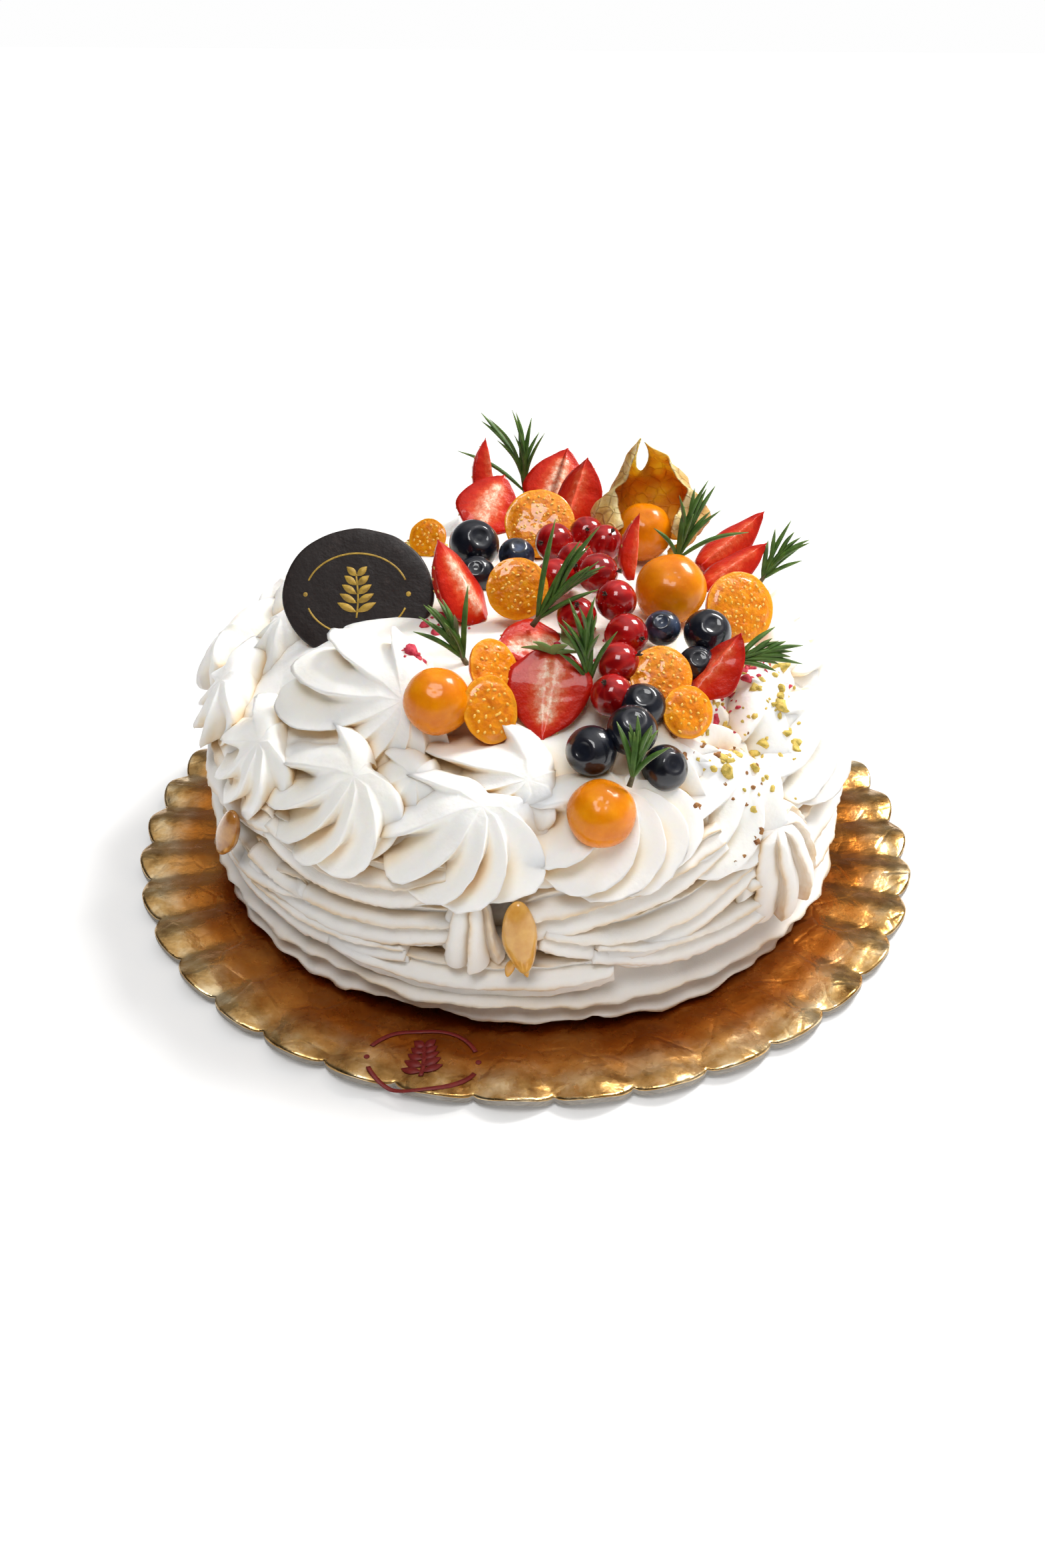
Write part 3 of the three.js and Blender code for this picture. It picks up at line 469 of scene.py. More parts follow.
def strawberry_flesh_paint():
    paint = Paint("strawberry_flesh", soft=(0.15, 2, (1, 0.3, 0.2)), coat=(0.25, 0.06), Roughness=0.32,
                  shine=0.15)
    streaks = paint.math("MULTIPLY", paint.math("SUBTRACT", paint.noise(1.7, 5, 0.7), 0.5), 0.75)
    deep = paint.math("ADD", paint.mark("Red"), streaks)
    paint.colour(paint.ramp(
        deep, (0.0, (0.40, 0.006, 0.002)), (0.5, (0.58, 0.022, 0.005)), (0.75, (0.68, 0.08, 0.025)),
        (0.92, (0.80, 0.30, 0.18)), (1.0, (0.90, 0.62, 0.46))))
    paint.grain(1.2, 4, 0.22)
    return paint.material


def leaf_paint(name, dark, light, under):
    paint = Paint(name, soft=(0.1, 1, (0.4, 1, 0.2)), Roughness=0.5, shine=0.35)
    top = paint.ramp(paint.noise(3, 3), (0.3, dark), (0.7, light))
    tips = paint.mix(paint.math("MULTIPLY", paint.mark("Blue"), 0.35), top, (0.20, 0.26, 0.05))
    paint.colour(paint.mix(paint.mark("Green"), tips, under))
    paint.grain(0.8, 3, 0.1)
    return paint.material


def husk_paint():
    paint = Paint("husk", soft=(0.5, 3, (1, 0.6, 0.2)), Roughness=0.5, shine=0.3)
    paper = paint.ramp(paint.noise(6, 4), (0.28, (0.36, 0.15, 0.03)), (0.52, (0.60, 0.33, 0.09)),
                       (0.75, (0.78, 0.54, 0.24)))
    net = paint.level(paint.cells(3.6, "DISTANCE_TO_EDGE"), 0.0, 0.09, 0.75, 0)
    veined = paint.mix(net, paper, (0.34, 0.15, 0.035))
    # Painted shade: the inner face of the husk is painted darker amber.
    shaded_inside = paint.mix(paint.mark("Green"), veined, (0.48, 0.20, 0.02))
    paint.colour(paint.mix(paint.mark("Red"), shaded_inside, (0.80, 0.56, 0.24)))
    paint.bump(net, 0.35)
    paint.grain(1.6, 4, 0.35)
    return paint.material


def caramel_paint(name, dark, light):
    return blotched(name, (4, 3), dark, light, (1.8, 3, 0.12), soft=(0.3, 3, (1, 0.6, 0.2)),
                    coat=(0.8, 0.05), Roughness=0.24, shine=0.3)


def crumb_paint(name, dark, light, rough=0.7):
    return blotched(name, (1.3, 4), dark, light, (0.6, 3, 0.3), 0.32, Roughness=rough,
                    shine=0.35)


SHADED = (-0.8, -0.6, 0)            # the side from which little light comes


def floor_paint():
    # The floor glows as painted light: brighter far out, dim near the cake and on the shaded side.
    paint = Paint("floor", Roughness=0.8, shine=0.1, Emission_Color=(1, 1, 1, 1))
    paint.colour(paint.ramp(paint.noise(400, 2), (0.3, (0.93, 0.93, 0.93)), (0.7, (0.95, 0.95, 0.95))))
    out = paint.level(paint.vector("LENGTH", paint.place), 0.35, 1.2, 0.12, 1.0)
    side = paint.level(paint.vector("DOT_PRODUCT", paint.place, SHADED), 0.2, 0.6, 1, 0.15)
    paint.set("Emission Strength", paint.math("MULTIPLY", out, side))
    return paint.material


# ---------------------------------------------------------------- piped shapes

LIP = 0.82                          # where the lip of a ridge lies, between 0 and 1
EDGE_STEPS = [0, 0.08, 0.18, 0.3, 0.42, 0.54, 0.64, 0.72, 0.78, 0.82, 0.86, 0.92]
LIP_FOLD = 0.14                     # how far a lip leans over the next ridge


def nozzle_edge(part, rim):
    """The height across one ridge: hollow up to a sharp lip, but a round lobe at the rim."""
    if part > LIP:
        return ((1 - part) / (1 - LIP)) ** 1.4
    rise = part / LIP
    return lerp(rise ** 1.25, sin(pi / 2 * rise) ** 0.8, rim)


def lip_mark(part):
    return bell(part, LIP, 0.09)


def softened(point, lip, seed):
    """Cream isn't machined: the surface swells a little, and its lips are torn."""
    moved = point + wobble(point, 11, 0.7, seed) + wobble(point, 3.2, 0.22, seed)
    return moved + wobble(point, 1.5, 0.42 * lip, seed)


def rosette(skin, at, axis, radius, height, fan=235, ridges=9, sweep=-70, eye=(0, 0), seed=1,
            depth=0.2, spacing=0.55, tail=0.5, wide=1):
    """A piped star. Its ridges start at the eye and turn by sweep. They lie closer on the side that fan
    gives, by spacing, and tail draws in the far side."""
    draw = seeded(seed)
    strength = [lerp(0.75, 1.15, draw()) for _ in range(ridges)]
    nudge = [lerp(-0.12, 0.12, draw()) for _ in range(ridges)]
    matrix = frame_at(at, axis)
    rings, underside, deepest = 30, 0.8, 0.55 * radius
    rows = []
    for ring in range(1, rings):
        down = ring / rings
        arc = pi * down ** 0.82
        to_eye = 1 - smooth(down, 0, 0.75)
        rim = smooth(down, 0.45, 0.72)
        level = cos(arc)
        row = []
        for ridge in range(ridges):
            for part in EDGE_STEPS:
                lip = lip_mark(part) * smooth(down, 0.05, 0.3)
                hollow = 1 - nozzle_edge(part, rim)
                along = ridge + part + LIP_FOLD * lip + nudge[ridge] * sin(pi * part)
                across = 2 * along / ridges - 1
                angle = radians(fan + 180 * across * lerp(spacing, 1, across ** 2) + sweep * (down - 0.5))
                relief = 1.3 * depth * strength[ridge] * smooth(down, 0, 0.25)
                lobe = 1.02 - relief * hollow * (1 - 0.6 * smooth(down, 0.75, 1))
                behind = (1 - cos(angle - radians(fan))) / 2
                reach = radius * (1 - tail * behind ** 2) * sin(arc) ** 0.85 * lobe
                z = (height * level * (1 if level > 0 else underside) + deepest) * lobe - deepest
                point = v(wide * reach * cos(angle), reach * sin(angle), z) + v(*eye, 0) * to_eye
                # The green mark is the hollow depth, which the cream paint turns into painted shade.
                row.append((softened(matrix @ point, lip, seed), (lip, hollow * smooth(down, 0, 0.2), 0)))
        rows.append(row)
    skin.loft(rows)


def rope(skin, path, out, thick, teeth=5, steps=60, depth=0.3, way=1, round_teeth=0.0, seed=1):
    """A piped rope along a path from 0 to 1, with teeth on the side that out points to."""
    draw = seeded(seed)
    strength = [lerp(0.8, 1.2, draw()) for _ in range(teeth)]
    rows = []
    for s in spread(steps):
        along = (path(min(s + 0.02, 1)) - path(max(s - 0.02, 0))).normalized()
        face = out(s)
        face = (face - along * face.dot(along)).normalized()
        side = along.cross(face) * way
        row = []

        def corner(degrees, reach, lip=0):
            point = path(s) + face * (reach * cosine(degrees)) + side * (reach * sine(degrees))
            row.append((softened(point, lip, seed), (lip, 0, 0)))
        for tooth in range(teeth):
            for part in EDGE_STEPS:
                lip = lip_mark(part)
                relief = depth * strength[tooth] * (1 - nozzle_edge(part, round_teeth))
                corner(200 * ((tooth + part + LIP_FOLD * lip) / teeth - 0.5), thick(s) * (1 - relief), lip)
        for degrees, reach in ((100, 1 - depth), (140, 0.7), (180, 0.5), (220, 0.6)):
            corner(degrees, thick(s) * reach)
        rows.append(row)
    skin.loft(rows)


def lathe(skin, profile, around, rough=0.0):
    """A closed solid of revolution; the profile runs from one point on the axis to the other."""
    wave, seed = 8, 4
    rows = []
    for radius, z in profile[1:-1]:
        row = []
        for step in range(around):
            point = polar(radius, 360 * step / around, z)
            row.append(point + wobble(point, wave, rough, seed) + wobble(point, wave / 3, rough / 3, seed))
        rows.append(row)
    skin.loft(rows, ends=[v(0, 0, z) for _, z in (profile[0], profile[-1])])


# ---------------------------------------------------------------- the card


def card_height(radius, degrees):
    climb = smooth(radius, CARD["flat"], 2 * CARD["bend"] - CARD["flat"])
    swing = cosine((degrees - CARD["first"]) * CARD["scallops"])
    crest = 1 - 2 * abs(swing * 0.5 - 0.5) ** 0.75
    dent = 0.21 * climb * sin(radius * 0.9 + 2 * sine(degrees * 7))
    return CARD["rise"] * climb - CARD["flute"] * climb * crest + dent


def card():
    skin = Skin()
    around = CARD["scallops"] * 18

    def loop(radius, lift, shrink=0.0):
        """A loop at a radius, or at the scalloped edge where there is none."""
        row = []
        for step in range(around):
            degrees = CARD["first"] + 360 * step / around
            bulge = abs(sine((degrees - CARD["first"]) * CARD["scallops"] / 2))
            edge = lerp(CARD["valley"], CARD["tip"], bulge ** 0.7)
            r = edge - shrink if radius is None else min(radius, edge * radius / CARD["valley"])
            row.append(polar(r, degrees, card_height(r, degrees) + lift))
        return row
    under = [loop(r, 0) for r in (6, 60, 84, 93, 102, 110)] + [loop(None, 0, 0.3)]
    side = [loop(None, 0.3), loop(None, 1.9)]
    over = [loop(None, CARD["thick"] - 0.05, 0.25), loop(None, CARD["thick"], 0.9)]
    for r in (114, 113, 111.5, *range(110, 97, -2), 95.5, 93, 90, 87, 84, 80, 74, 60, 40, 20, 6):
        over.append(loop(r, CARD["thick"]))
    skin.loft(under + side + over)
    skin.dress(0, (len(under) + 1) * around, 1)
    return skin


# ---------------------------------------------------------------- the meringue base

FOOT = [(0, -4), (0.6, -1.2), (1.3, 1.6), (1.9, 2.8), (2.4, 2.2), (3.0, 0.2), (4.4, -0.6), (6.2, -0.8),
        (6.9, 0.4), (7.4, 3.0), (7.9, 4.2), (8.4, 3.4), (9.4, 1.0), (11, -0.8), (13, -2), (17, -2.6),
        (21, -3), (24, -3.5)]           # levels above the card, and how far each stands out
FOOT_LIPS = (1.8, 7.9)


def foot(skin):
    around = 400
    rows = []
    for level, out in FOOT:
        crest = max(bell(level, lip, 0.6) for lip in FOOT_LIPS)
        phase = 70 if level < 4.5 else 210
        row = []
        for step in range(around):
            degrees = 360 * step / around
            wave = sine(degrees * 5 + phase) + 0.6 * sine(degrees * 11 + phase / 2)
            crimp = 0.5 * crest * sine(degrees * 47 + 90 * sine(degrees * 9))
            lift = 0 if level == 0 else 0.7 * sine(degrees * 3 + 50)
            lift += crest * 0.5 * sine(degrees * 13 + phase)
            point = polar(BASE["foot"] + out + wave * 0.7 + crimp, degrees, BASE["bottom"] + level + lift)
            row.append((softened(point, crest * 0.6, 5), (crest, 0, 0)))
        rows.append(row)
    skin.loft(rows)


def bend(values, s):
    """The curve through three values: at its start, its middle and its end."""
    start, middle, end = values
    return start * (1 - s) * (1 - 2 * s) + 4 * middle * s * (1 - s) + end * s * (2 * s - 1)


def swag(skin, start, to, level, thick, teeth=5, seed=1):
    """A rope that sags along the wall from one angle to another."""
    rope(skin, lambda s: polar(BASE["wall"] - bend(thick, s), lerp(start, to, s), bend(level, s)),
         lambda s: polar(1, lerp(start, to, s), -0.15), lambda s: bend(thick, s), teeth,
         way=1 if to > start else -1, seed=seed)


def kiss(skin, degrees, high, low, top, end, slant=0, proud=1, teeth=4, seed=1):
    """A short upright stroke on the wall, with its round end at the foot."""
    def wide(s):
        return lerp(top, end, s ** 0.8)

    def place(s):
        out = BASE["wall"] + proud - wide(s) + 2 * sin(pi * s)
        return polar(out, degrees + slant * s, lerp(high, low, s))
    rope(skin, place, lambda s: polar(1, degrees + slant * s, 0.1),
         lambda s: wide(s) * (1 - 0.75 * smooth(s, 0.8, 1.05)), teeth, steps=28, depth=1.6 / teeth,
         round_teeth=1.0, seed=seed)


# from, to, levels, thicknesses, teeth
SWAGS = [
    (-92, -59, (36, 41, 52), (8, 9.5, 5)),
    (-88, -50, (33, 29, 44), (6, 9, 5)),
    (-80, -38, (28, 23, 31), (6, 9, 6)),
    (-134, -100, (47, 40, 49), (6, 9.5, 5)),
    (-141, -99, (31, 28, 35), (8, 9.5, 6)),
    (-152, -108, (26, 21, 24), (6, 7.5, 5)),
    (-122, -76, (20, 17.5, 21), (5, 7.5, 5.5), 4),
]
for i, start in enumerate((-54, 1, 56, 111, 166)):
    SWAGS.append((start, start + 62, (35, 38 + i % 2, 47), (9, 10, 6), 4))
    SWAGS.append((start + 8, start + 68, (28, 22 + i % 3, 31), (7, 9.5, 6), 4))
# angle, levels of its ends, half widths, slant, how far it stands out, teeth
KISSES = [(-97.5, 44, 22.5, 4, 9.5, -0.5), (-50, 52, 21, 7, 18, 9, 4, 6), (128, 44, 24, 6, 10)]


def meringue_base():
    skin = Skin()
    core, bottom, top = BASE["core"], 19, 49
    lathe(skin, [(0, bottom), (core, bottom), (core, 34.5), (core - 5, top), (0, top)], 64)
    foot(skin)
    for i, spec in enumerate(SWAGS):
        swag(skin, *spec, seed=i + 1)
    for i, spec in enumerate(KISSES):
        kiss(skin, *spec, seed=i + 31)
    return skin


# ---------------------------------------------------------------- the cream

# what the rosettes of the outer tier at the front are given, by slot
FRONT = {
    0: dict(eye=(3, 5), fan=262, sweep=-120, ridges=8, spacing=0.5, tail=0.75),
    1: dict(eye=(5, 5), fan=250, sweep=-80, ridges=8, spacing=0.5, tail=0.84),
    2: dict(eye=(8, 5), fan=234, sweep=-70, ridges=8, spacing=0.5, tail=0.84),
}
# angle, ring, level and tilt, then what the rosette itself is given
UPPER = [
    (-126, 67.5, 70.5, 43, dict(radius=28, height=9, face=-103, eye=(13, 5), fan=212, ridges=11, spacing=0.6,
                                depth=0.15, tail=0.55, sweep=-95)),
    (-98, 72, 64, 46, dict(radius=18.5, height=10, eye=(14, -1), fan=192, ridges=7, spacing=0.42, tail=0.7,
                           wide=1.4)),
    (-60, 74, 62.5, 42, dict(radius=23, height=10, eye=(-6, 7), fan=300, ridges=9)),
    (-33, 73, 62.5, 45, dict(radius=22, height=10, eye=(-4, 6), fan=290, ridges=8)),
    (-6, 69, 65.5, 52, dict(radius=22, height=10, eye=(-3, 6), fan=290, ridges=8)),
    (-110, 77, 62, 46, dict(radius=13, height=7, eye=(2, 2), fan=230, ridges=6, depth=0.13)),
]
for i, degrees in enumerate((20, 47, 74, 101, 128, 155, 182)):
    given = dict(radius=22 + i % 2, height=10, eye=(8, 5), ridges=6)
    UPPER.append((degrees, 65 + i % 2, 66 + i % 3, 54, given))


def tilted(degrees, tilt):
    return polar(cosine(tilt), degrees, sine(tilt))


def cream():
    skin = Skin()
    for slot in range(CREAM["slots"]):
        draw = seeded(slot + 20)
        degrees = CREAM["first"] - 360 * slot / CREAM["slots"] + lerp(-2, 2, draw())
        ring = CREAM["ring"] + lerp(-1.5, 1.5, draw())
        tilt = lerp(41, 47, draw())
        at = polar(ring, degrees, CREAM["level"] + lerp(-2, 2, draw()))
        radius = CREAM["radius"] * lerp(0.92, 1.08, draw())
        height = lerp(7.5, 9, draw())
        usual = dict(eye=(8, 3), tail=0.65, fan=238 + lerp(-10, 10, draw()), sweep=-85, ridges=7, wide=1.15)
        rosette(skin, at, tilted(degrees, tilt), radius, height, seed=slot + 3,
                **{**usual, **FRONT.get(slot, {})})
    for seed, (degrees, ring, level, tilt, given) in enumerate(UPPER, 60):
        given = dict(given)
        axis = tilted(given.pop("face", degrees), tilt)
        rosette(skin, polar(ring, degrees, level), axis, seed=seed, **given)
    outs, levels = zip(*CREAM["body"])
    low = CREAM["low"]
    body = [(spline(outs, part), spline(levels, part)) for part in spread(40)[:-1]]
    lathe(skin, [(0, low), (88, low)] + body + [(0, levels[-1])], 120, rough=1.1)
    return skin


# ---------------------------------------------------------------- fruit


def round_fruit(skin, at, across, turn=0, rise=50, tall=1, kind="physalis", seed=1):
    """A berry whose calyx end points the way that turn and rise say."""
    matrix = frame_at(at, aim(turn, rise), seed * 47)

    def surface(tilt, angle):
        radius = across / 2
        x, y, z = sin(tilt) * cos(angle), sin(tilt) * sin(angle), cos(tilt)
        crown = 0
        if kind == "blueberry":
            lobes = 0.65 + 0.35 * cos(5 * angle)
            crown = bell(tilt, 0.40 + 0.05 * lobes, 0.075)
            radius *= 1 + 0.05 * crown * lobes - 0.14 * (1 - smooth(tilt, 0.22, 0.42))
        elif kind == "physalis":
            radius *= 1 + 0.012 * cos(5 * angle) * sin(tilt) - 0.05 * bell(tilt, 0, 0.2)
        else:
            radius *= 1 - 0.04 * bell(tilt, 0, 0.25)
        point = v(x * radius, y * radius, z * radius * tall)
        stripe = abs(cos(4.5 * angle + 0.3 * sin(3 * tilt))) ** 10 * sin(tilt)
        return matrix @ (point + wobble(point, across, 0.02 * across, seed)), (stripe, crown, 0)
    globe(skin, surface, 40, 28, ends=(surface(0.001, 0)[0], surface(pi, 0)[0]))
    if kind == "currant":
        top = matrix @ v(0, 0, across / 2 * tall)
        for spoke in range(5):
            lean = Matrix.Rotation(radians(72 * spoke), 4, "Z") @ Matrix.Rotation(radians(25), 4, "Y")
            lean = turn_only(matrix) @ lean
            ball(skin, top + lean @ v(0, 0, 0.55), (0.22, 0.3, 0.95), lean, 6, 5, 1, rough=0.2, seed=spoke)


GOLDEN_TURN = pi * (3 - sqrt(5))        # spreads seeds evenly over a disc


def half_fruit(skin, at, across, turn=0, rise=30, squash=1, seed=1):
    """Half a physalis with its seeds; its cut face looks the way that turn and rise say."""
    around, bowl = 44, 16
    deep, dome = 0.42 * across, 0.06 * across
    matrix = frame_at(at, aim(turn, rise))
    radius = across / 2
    rows = []

    def disc(out, angle, z):
        return v(out * radius * cos(angle), out * radius * squash * sin(angle), z)

    def row(out, z, rough):
        points = [disc(out, angle, z) for angle in turns(around)]
        rows.append([(matrix @ (point + wobble(point, 2.2, rough, seed)), (out, 0, 0)) for point in points])
    outs = [0.12, 0.25, 0.4, 0.55, 0.68, 0.8, 0.88, 0.94, 0.985]
    for out in outs:
        groove = 0.25 * smooth(out, 0.75, 0.88) * (1 - smooth(out, 0.9, 0.97))
        row(out, dome * (1 - out ** 4) - groove, 0.3)
    for step in range(bowl):
        tilt = pi / 2 * step / bowl
        row(cos(tilt), -sin(tilt) * deep, 0.15)
    skin.loft(rows, ends=(matrix @ v(0, 0, dome), matrix @ v(0, 0, -deep)))
    skin.dress(0, (len(outs) - 1) * around, 1)
    skin.dress(len(skin.faces) - 2 * around, len(skin.faces) - around, 1)
    draw = seeded(seed + 90)
    seeds = int(across * across / 6.5)
    for i in range(seeds):
        out = 0.8 * sqrt((i + 0.5) / seeds)
        place = disc(out, i * GOLDEN_TURN + 0.5 * draw(), dome * (1 - out ** 4))
        twist = turn_only(matrix) @ Matrix.Rotation(2 * pi * draw(), 4, "Z")
        place += v(draw() - 0.5, draw() - 0.5, -0.08)
        ball(skin, matrix @ place, (0.42 + 0.15 * draw(), 0.34, 0.26), twist, 9, 6, 2)


FRUIT_SWELL = [0.5, 1, 0.96, 0.66, 0.1]     # half widths of a strawberry from calyx to tip


def wedge_fruit(skin, at, along, facing, long, wide, arc, seed=1):
    """A cut strawberry: along runs from calyx to tip, and arc is how much skin is left."""
    at, axis, facing = Vector(at), aim(*along), aim(*facing)
    face = (facing - axis * facing.dot(axis)).normalized()
    side = axis.cross(face)
    stations, skin_steps, flesh_steps = 30, 26, 7
    draw = seeded(seed + 300)
    pale = 0.75 if arc < 135 else 0.95

    def skin_point(s, part, lift=0.0):
        radius = wide / 2 * max(0.02, spline(FRUIT_SWELL, s)) * (1 - smooth(s, 0.93, 1) * 0.9)
        radius *= 0.45 + 0.55 * smooth(s, -0.08, 0.06)
        degrees = 180 + arc * (part - 0.5)
        out = face * cosine(degrees) + side * sine(degrees)
        centre = at + axis * ((s - 0.5) * long)
        point = centre + out * (radius + lift)
        return point + wobble(point, 7, 0.35, seed), out, centre, radius
    rows = []
    for s in spread(stations):
        row = [(skin_point(s, part)[0], (0, 0, 0)) for part in spread(skin_steps)]
        first, last = row[0][0], row[-1][0]
        _, _, centre, radius = skin_point(s, 0.5)
        core = centre + face * 0.12 * radius
        inner = min(1, s / 0.12, (1 - s) / 0.22)
        for start, end, rising in ((last, core, True), (core, first, False)):
            for step in range(rising, flesh_steps + rising):
                part = step / flesh_steps
                point = start.lerp(end, part)
                deep = part if rising else 1 - part
                mark = (inner * pale * min(1, deep * 1.25), 0, 0)
                row.append((point + wobble(point, 2.4, 0.25, seed), mark))
        rows.append(row)
    skin.loft(rows)
    around = len(rows[0])
    for station in range(stations):
        skin.dress(station * around + skin_steps, (station + 1) * around, 1)
    lines = max(3, int(long / 2.6))
    for line in range(1, lines):
        count = max(2, int(wide * arc / 180 / 2.7 * spline(FRUIT_SWELL, line / lines) * 1.3))
        for i in range(count):
            s = (line + 0.3 * (draw() - 0.5)) / lines
            part = (i + 0.5 + 0.5 * (line % 2 - 0.5) + 0.3 * (draw() - 0.5)) / count
            point, out, _, _ = skin_point(s, min(0.97, max(0.03, part)), -0.02)
            local = frame_at(Vector(), out).to_3x3()
            upright = axis.rotation_difference(local.col[1]).inverted().to_matrix().to_4x4()
            ball(skin, point, (0.36, 0.6, 0.24), upright @ local.to_4x4(), 6, 4, 2)


LEAF_SECTION = ((-1, 0.16), (-0.5, 0.03), (0, -0.06), (0.5, 0.03), (1, 0.16),
                (1, 0.1), (0.5, -0.02), (0, -0.14), (-0.5, -0.02), (-1, 0.1))


def calyx_leaf(skin, root, axis, over, seed):
    """A pointed leaf of a strawberry, curled along its length, with a fold along its middle."""
    long, wide, thick, curl, steps = 7.5, 3.4, 0.28, -0.25, 12
    axis = axis.normalized()
    side = over.cross(axis).normalized()
    normal = axis.cross(side)
    rows = []
    for s in spread(steps):
        half = wide / 2 * (sin(pi * min(1, 0.14 + 0.86 * s) ** 0.75) ** 0.8) + 0.05
        centre = root + axis * (long * s) + normal * (curl * long * s * s)
        row = []
        for i, (across, lift) in enumerate(LEAF_SECTION):
            low = i >= 5
            down = (thick * 0.4 if abs(across) == 1 else thick) if low else 0
            point = centre + side * (half * across) + normal * (half * lift - down)
            row.append((point + wobble(point, 3.5, 0.35, seed), (0, 0.8 if low else 0, s)))
        rows.append(row)
    skin.loft(rows, 3)


def calyx(skin, at, along, long, seed):
    axis = aim(*along)
    root = Vector(at) - axis * long * 0.47
    for i in range(6):
        petal = frame_at(Vector(), -axis, 60 * i)
        calyx_leaf(skin, root, petal @ v(0.9, 0, 0.35), petal @ UP, seed * 10 + i)


# across, up and pale underside of a needle's section
NEEDLE_SECTION = ((1, -0.1, 0), (0.95, 0.6, 0), (0.5, 0.95, 0), (0, 0.6, 0), (-0.5, 0.95, 0),
                  (-0.95, 0.6, 0), (-1, -0.1, 0), (-0.7, -0.75, 0.75), (0, -0.25, 0.75), (0.7, -0.75, 0.75))


def needle(skin, root, direction, long, wide, seed=1):
    axis = direction.normalized()
    side = UP.cross(axis).normalized()
    over = axis.cross(side)
    draw = seeded(seed + 500)
    bow = long * lerp(0.04, 0.1, draw())
    drift = long * lerp(-0.06, 0.06, draw())
    thick, steps = 1.1, 12
    rows = []
    for s in spread(steps):
        swell = min(1, 0.5 + 2.4 * s) * (1 - smooth(s, 0.6, 1.03)) ** 0.6 + 0.04
        centre = root + axis * (long * s) + over * (bow * sin(pi * s)) + side * (drift * s * s)
        half, up = side * (wide / 2 * swell), over * (thick / 2 * swell)
        rows.append([(centre + half * reach + up * lift, (0, pale, smooth(s, 0.7, 1)))
                     for reach, lift, pale in NEEDLE_SECTION])
    skin.loft(rows)


def sprig(skin, at, needles, wide=2.1, seed=1):
    """A tip of rosemary: its needles are given as turn, rise and length, and more fill the gaps."""
    at = Vector(at)
    draw = seeded(seed + 700)
    mean = sum((aim(turn, rise) for turn, rise, _ in needles), Vector()).normalized()
    stem_long = max(long for _, _, long in needles) * 0.42
    rows = []
    for i in range(7):
        matrix = frame_at(at - mean * 2 + mean * (stem_long + 2) * i / 6, mean)
        rows.append([matrix @ polar(0.75 * (1 - i / 10), 60 * corner, 0) for corner in range(6)])
    skin.loft(rows, 1)
    for i, (turn, rise, long) in enumerate(needles):
        needle(skin, at, aim(turn, rise), long, wide * 0.62, seed * 20 + i)
    total = 8
    for i in range(total):
        up = 0.15 + 0.8 * i / total
        one, other = needles[i % len(needles)], needles[(i + 1 + i // len(needles)) % len(needles)]
        middle = aim(*one[:2]).lerp(aim(*other[:2]), lerp(0.25, 0.75, draw()))
        jitter = v(draw() - 0.5, draw() - 0.5, draw() - 0.3) * 0.5
        long = lerp(one[2], other[2], 0.5) * lerp(0.62, 0.85, draw())
        needle(skin, at + mean * stem_long * up, middle + jitter, long, wide * 0.56, seed * 20 + 10 + i)


def husk():
    """The open papery husk: one thin sheet round the back of its fruit, with two horns."""
    skin = Skin()
    at, radius, height = v(35.5, 22, 86), 16.5, 29.5
    steps, levels, thick = 90, 30, 0.5

    def sheet(inset, back):
        rows = []
        for up in spread(levels):
            rim = smooth(up, 0.9, 1)
            row = []
            for part in spread(steps):
                rib = 0.7 * cosine(part * 360 * 5) + 0.25 * cosine(part * 360 * 10 + 40)
                left = bell(part, 2 / 3, 0.06)
                right = bell(part, 0.5, 0.05 if part > 0.5 else 0.2)
                low = 0.55 - 0.3 * abs(2 * part - 1) ** 3 + 0.02 * sin(40 * part)
                edge = height * (low + 0.45 * left + 0.38 * right)
                belly = sin(pi * (0.18 + 0.6 * up))
                reach = radius * belly * (1 - 0.55 * up ** 3 * max(left, right)) + rib - inset
                point = polar(reach, lerp(-62, 222, part), edge * up) + at
                crumple = wobble(point, 7, 1.1, 3) + wobble(point, 2.6, 0.35, 8)
                hook = v(-1.2 * up ** 4 * left - 3 * up ** 3 * right ** 4, 0, 0)
                # The inner sheet's green mark places the painted shade inside the husk.
                row.append((point + crumple + hook, (rim * 0.5, 0.8, 0) if back else (rim, 0, 0)))
            rows.append(row)
        return rows
    outer, inner = sheet(0, False), sheet(thick, True)
    around = 2 * (steps + 1)
    skin.loft([a + b[::-1] for a, b in zip(outer, inner)], ends=())
    # The two long edges are bridged point by point, since the loop is a thin band.
    for row in (0, levels):
        for step in range(steps):
            a = row * around + step
            b = row * around + around - 1 - step
            skin.faces.append([a, a + 1, b - 1, b])
            skin.slots.append(0)
    return skin


# ---------------------------------------------------------------- the tables of toppings

# place, width, turn and rise, how tall for its width
WHOLE_PHYSALIS = [
    ((-20.7, -64.5, 80.5), PHYSALIS + 0.3), ((17, -87.5, 65), PHYSALIS),
    ((37.5, -21, 90), PHYSALIS + 3, 0, 50, 0.86), ((33.5, 18.5, 90.5), PHYSALIS + 1),
]
# place, width, turn and rise of the cut, how long for its width
CUT_PHYSALIS = [
    ((-7.5, -57, 85), 12.5, 35, 35, 1.2), ((-8.3, -67, 79.8), 13, 20, 30, 1.25),
    ((-2.5, -26, 92), 16, 5, 30), ((3.5, 21, 92), 20.5, 0, 40),
    ((32, -57, 83.5), 15, 5, 42), ((37.5, -67, 79.5), 12.5, 20, 35),
    ((56, -22, 85.5), 19, 20, 35), ((-29.5, 22, 87), 11.5, -20, 35),
]
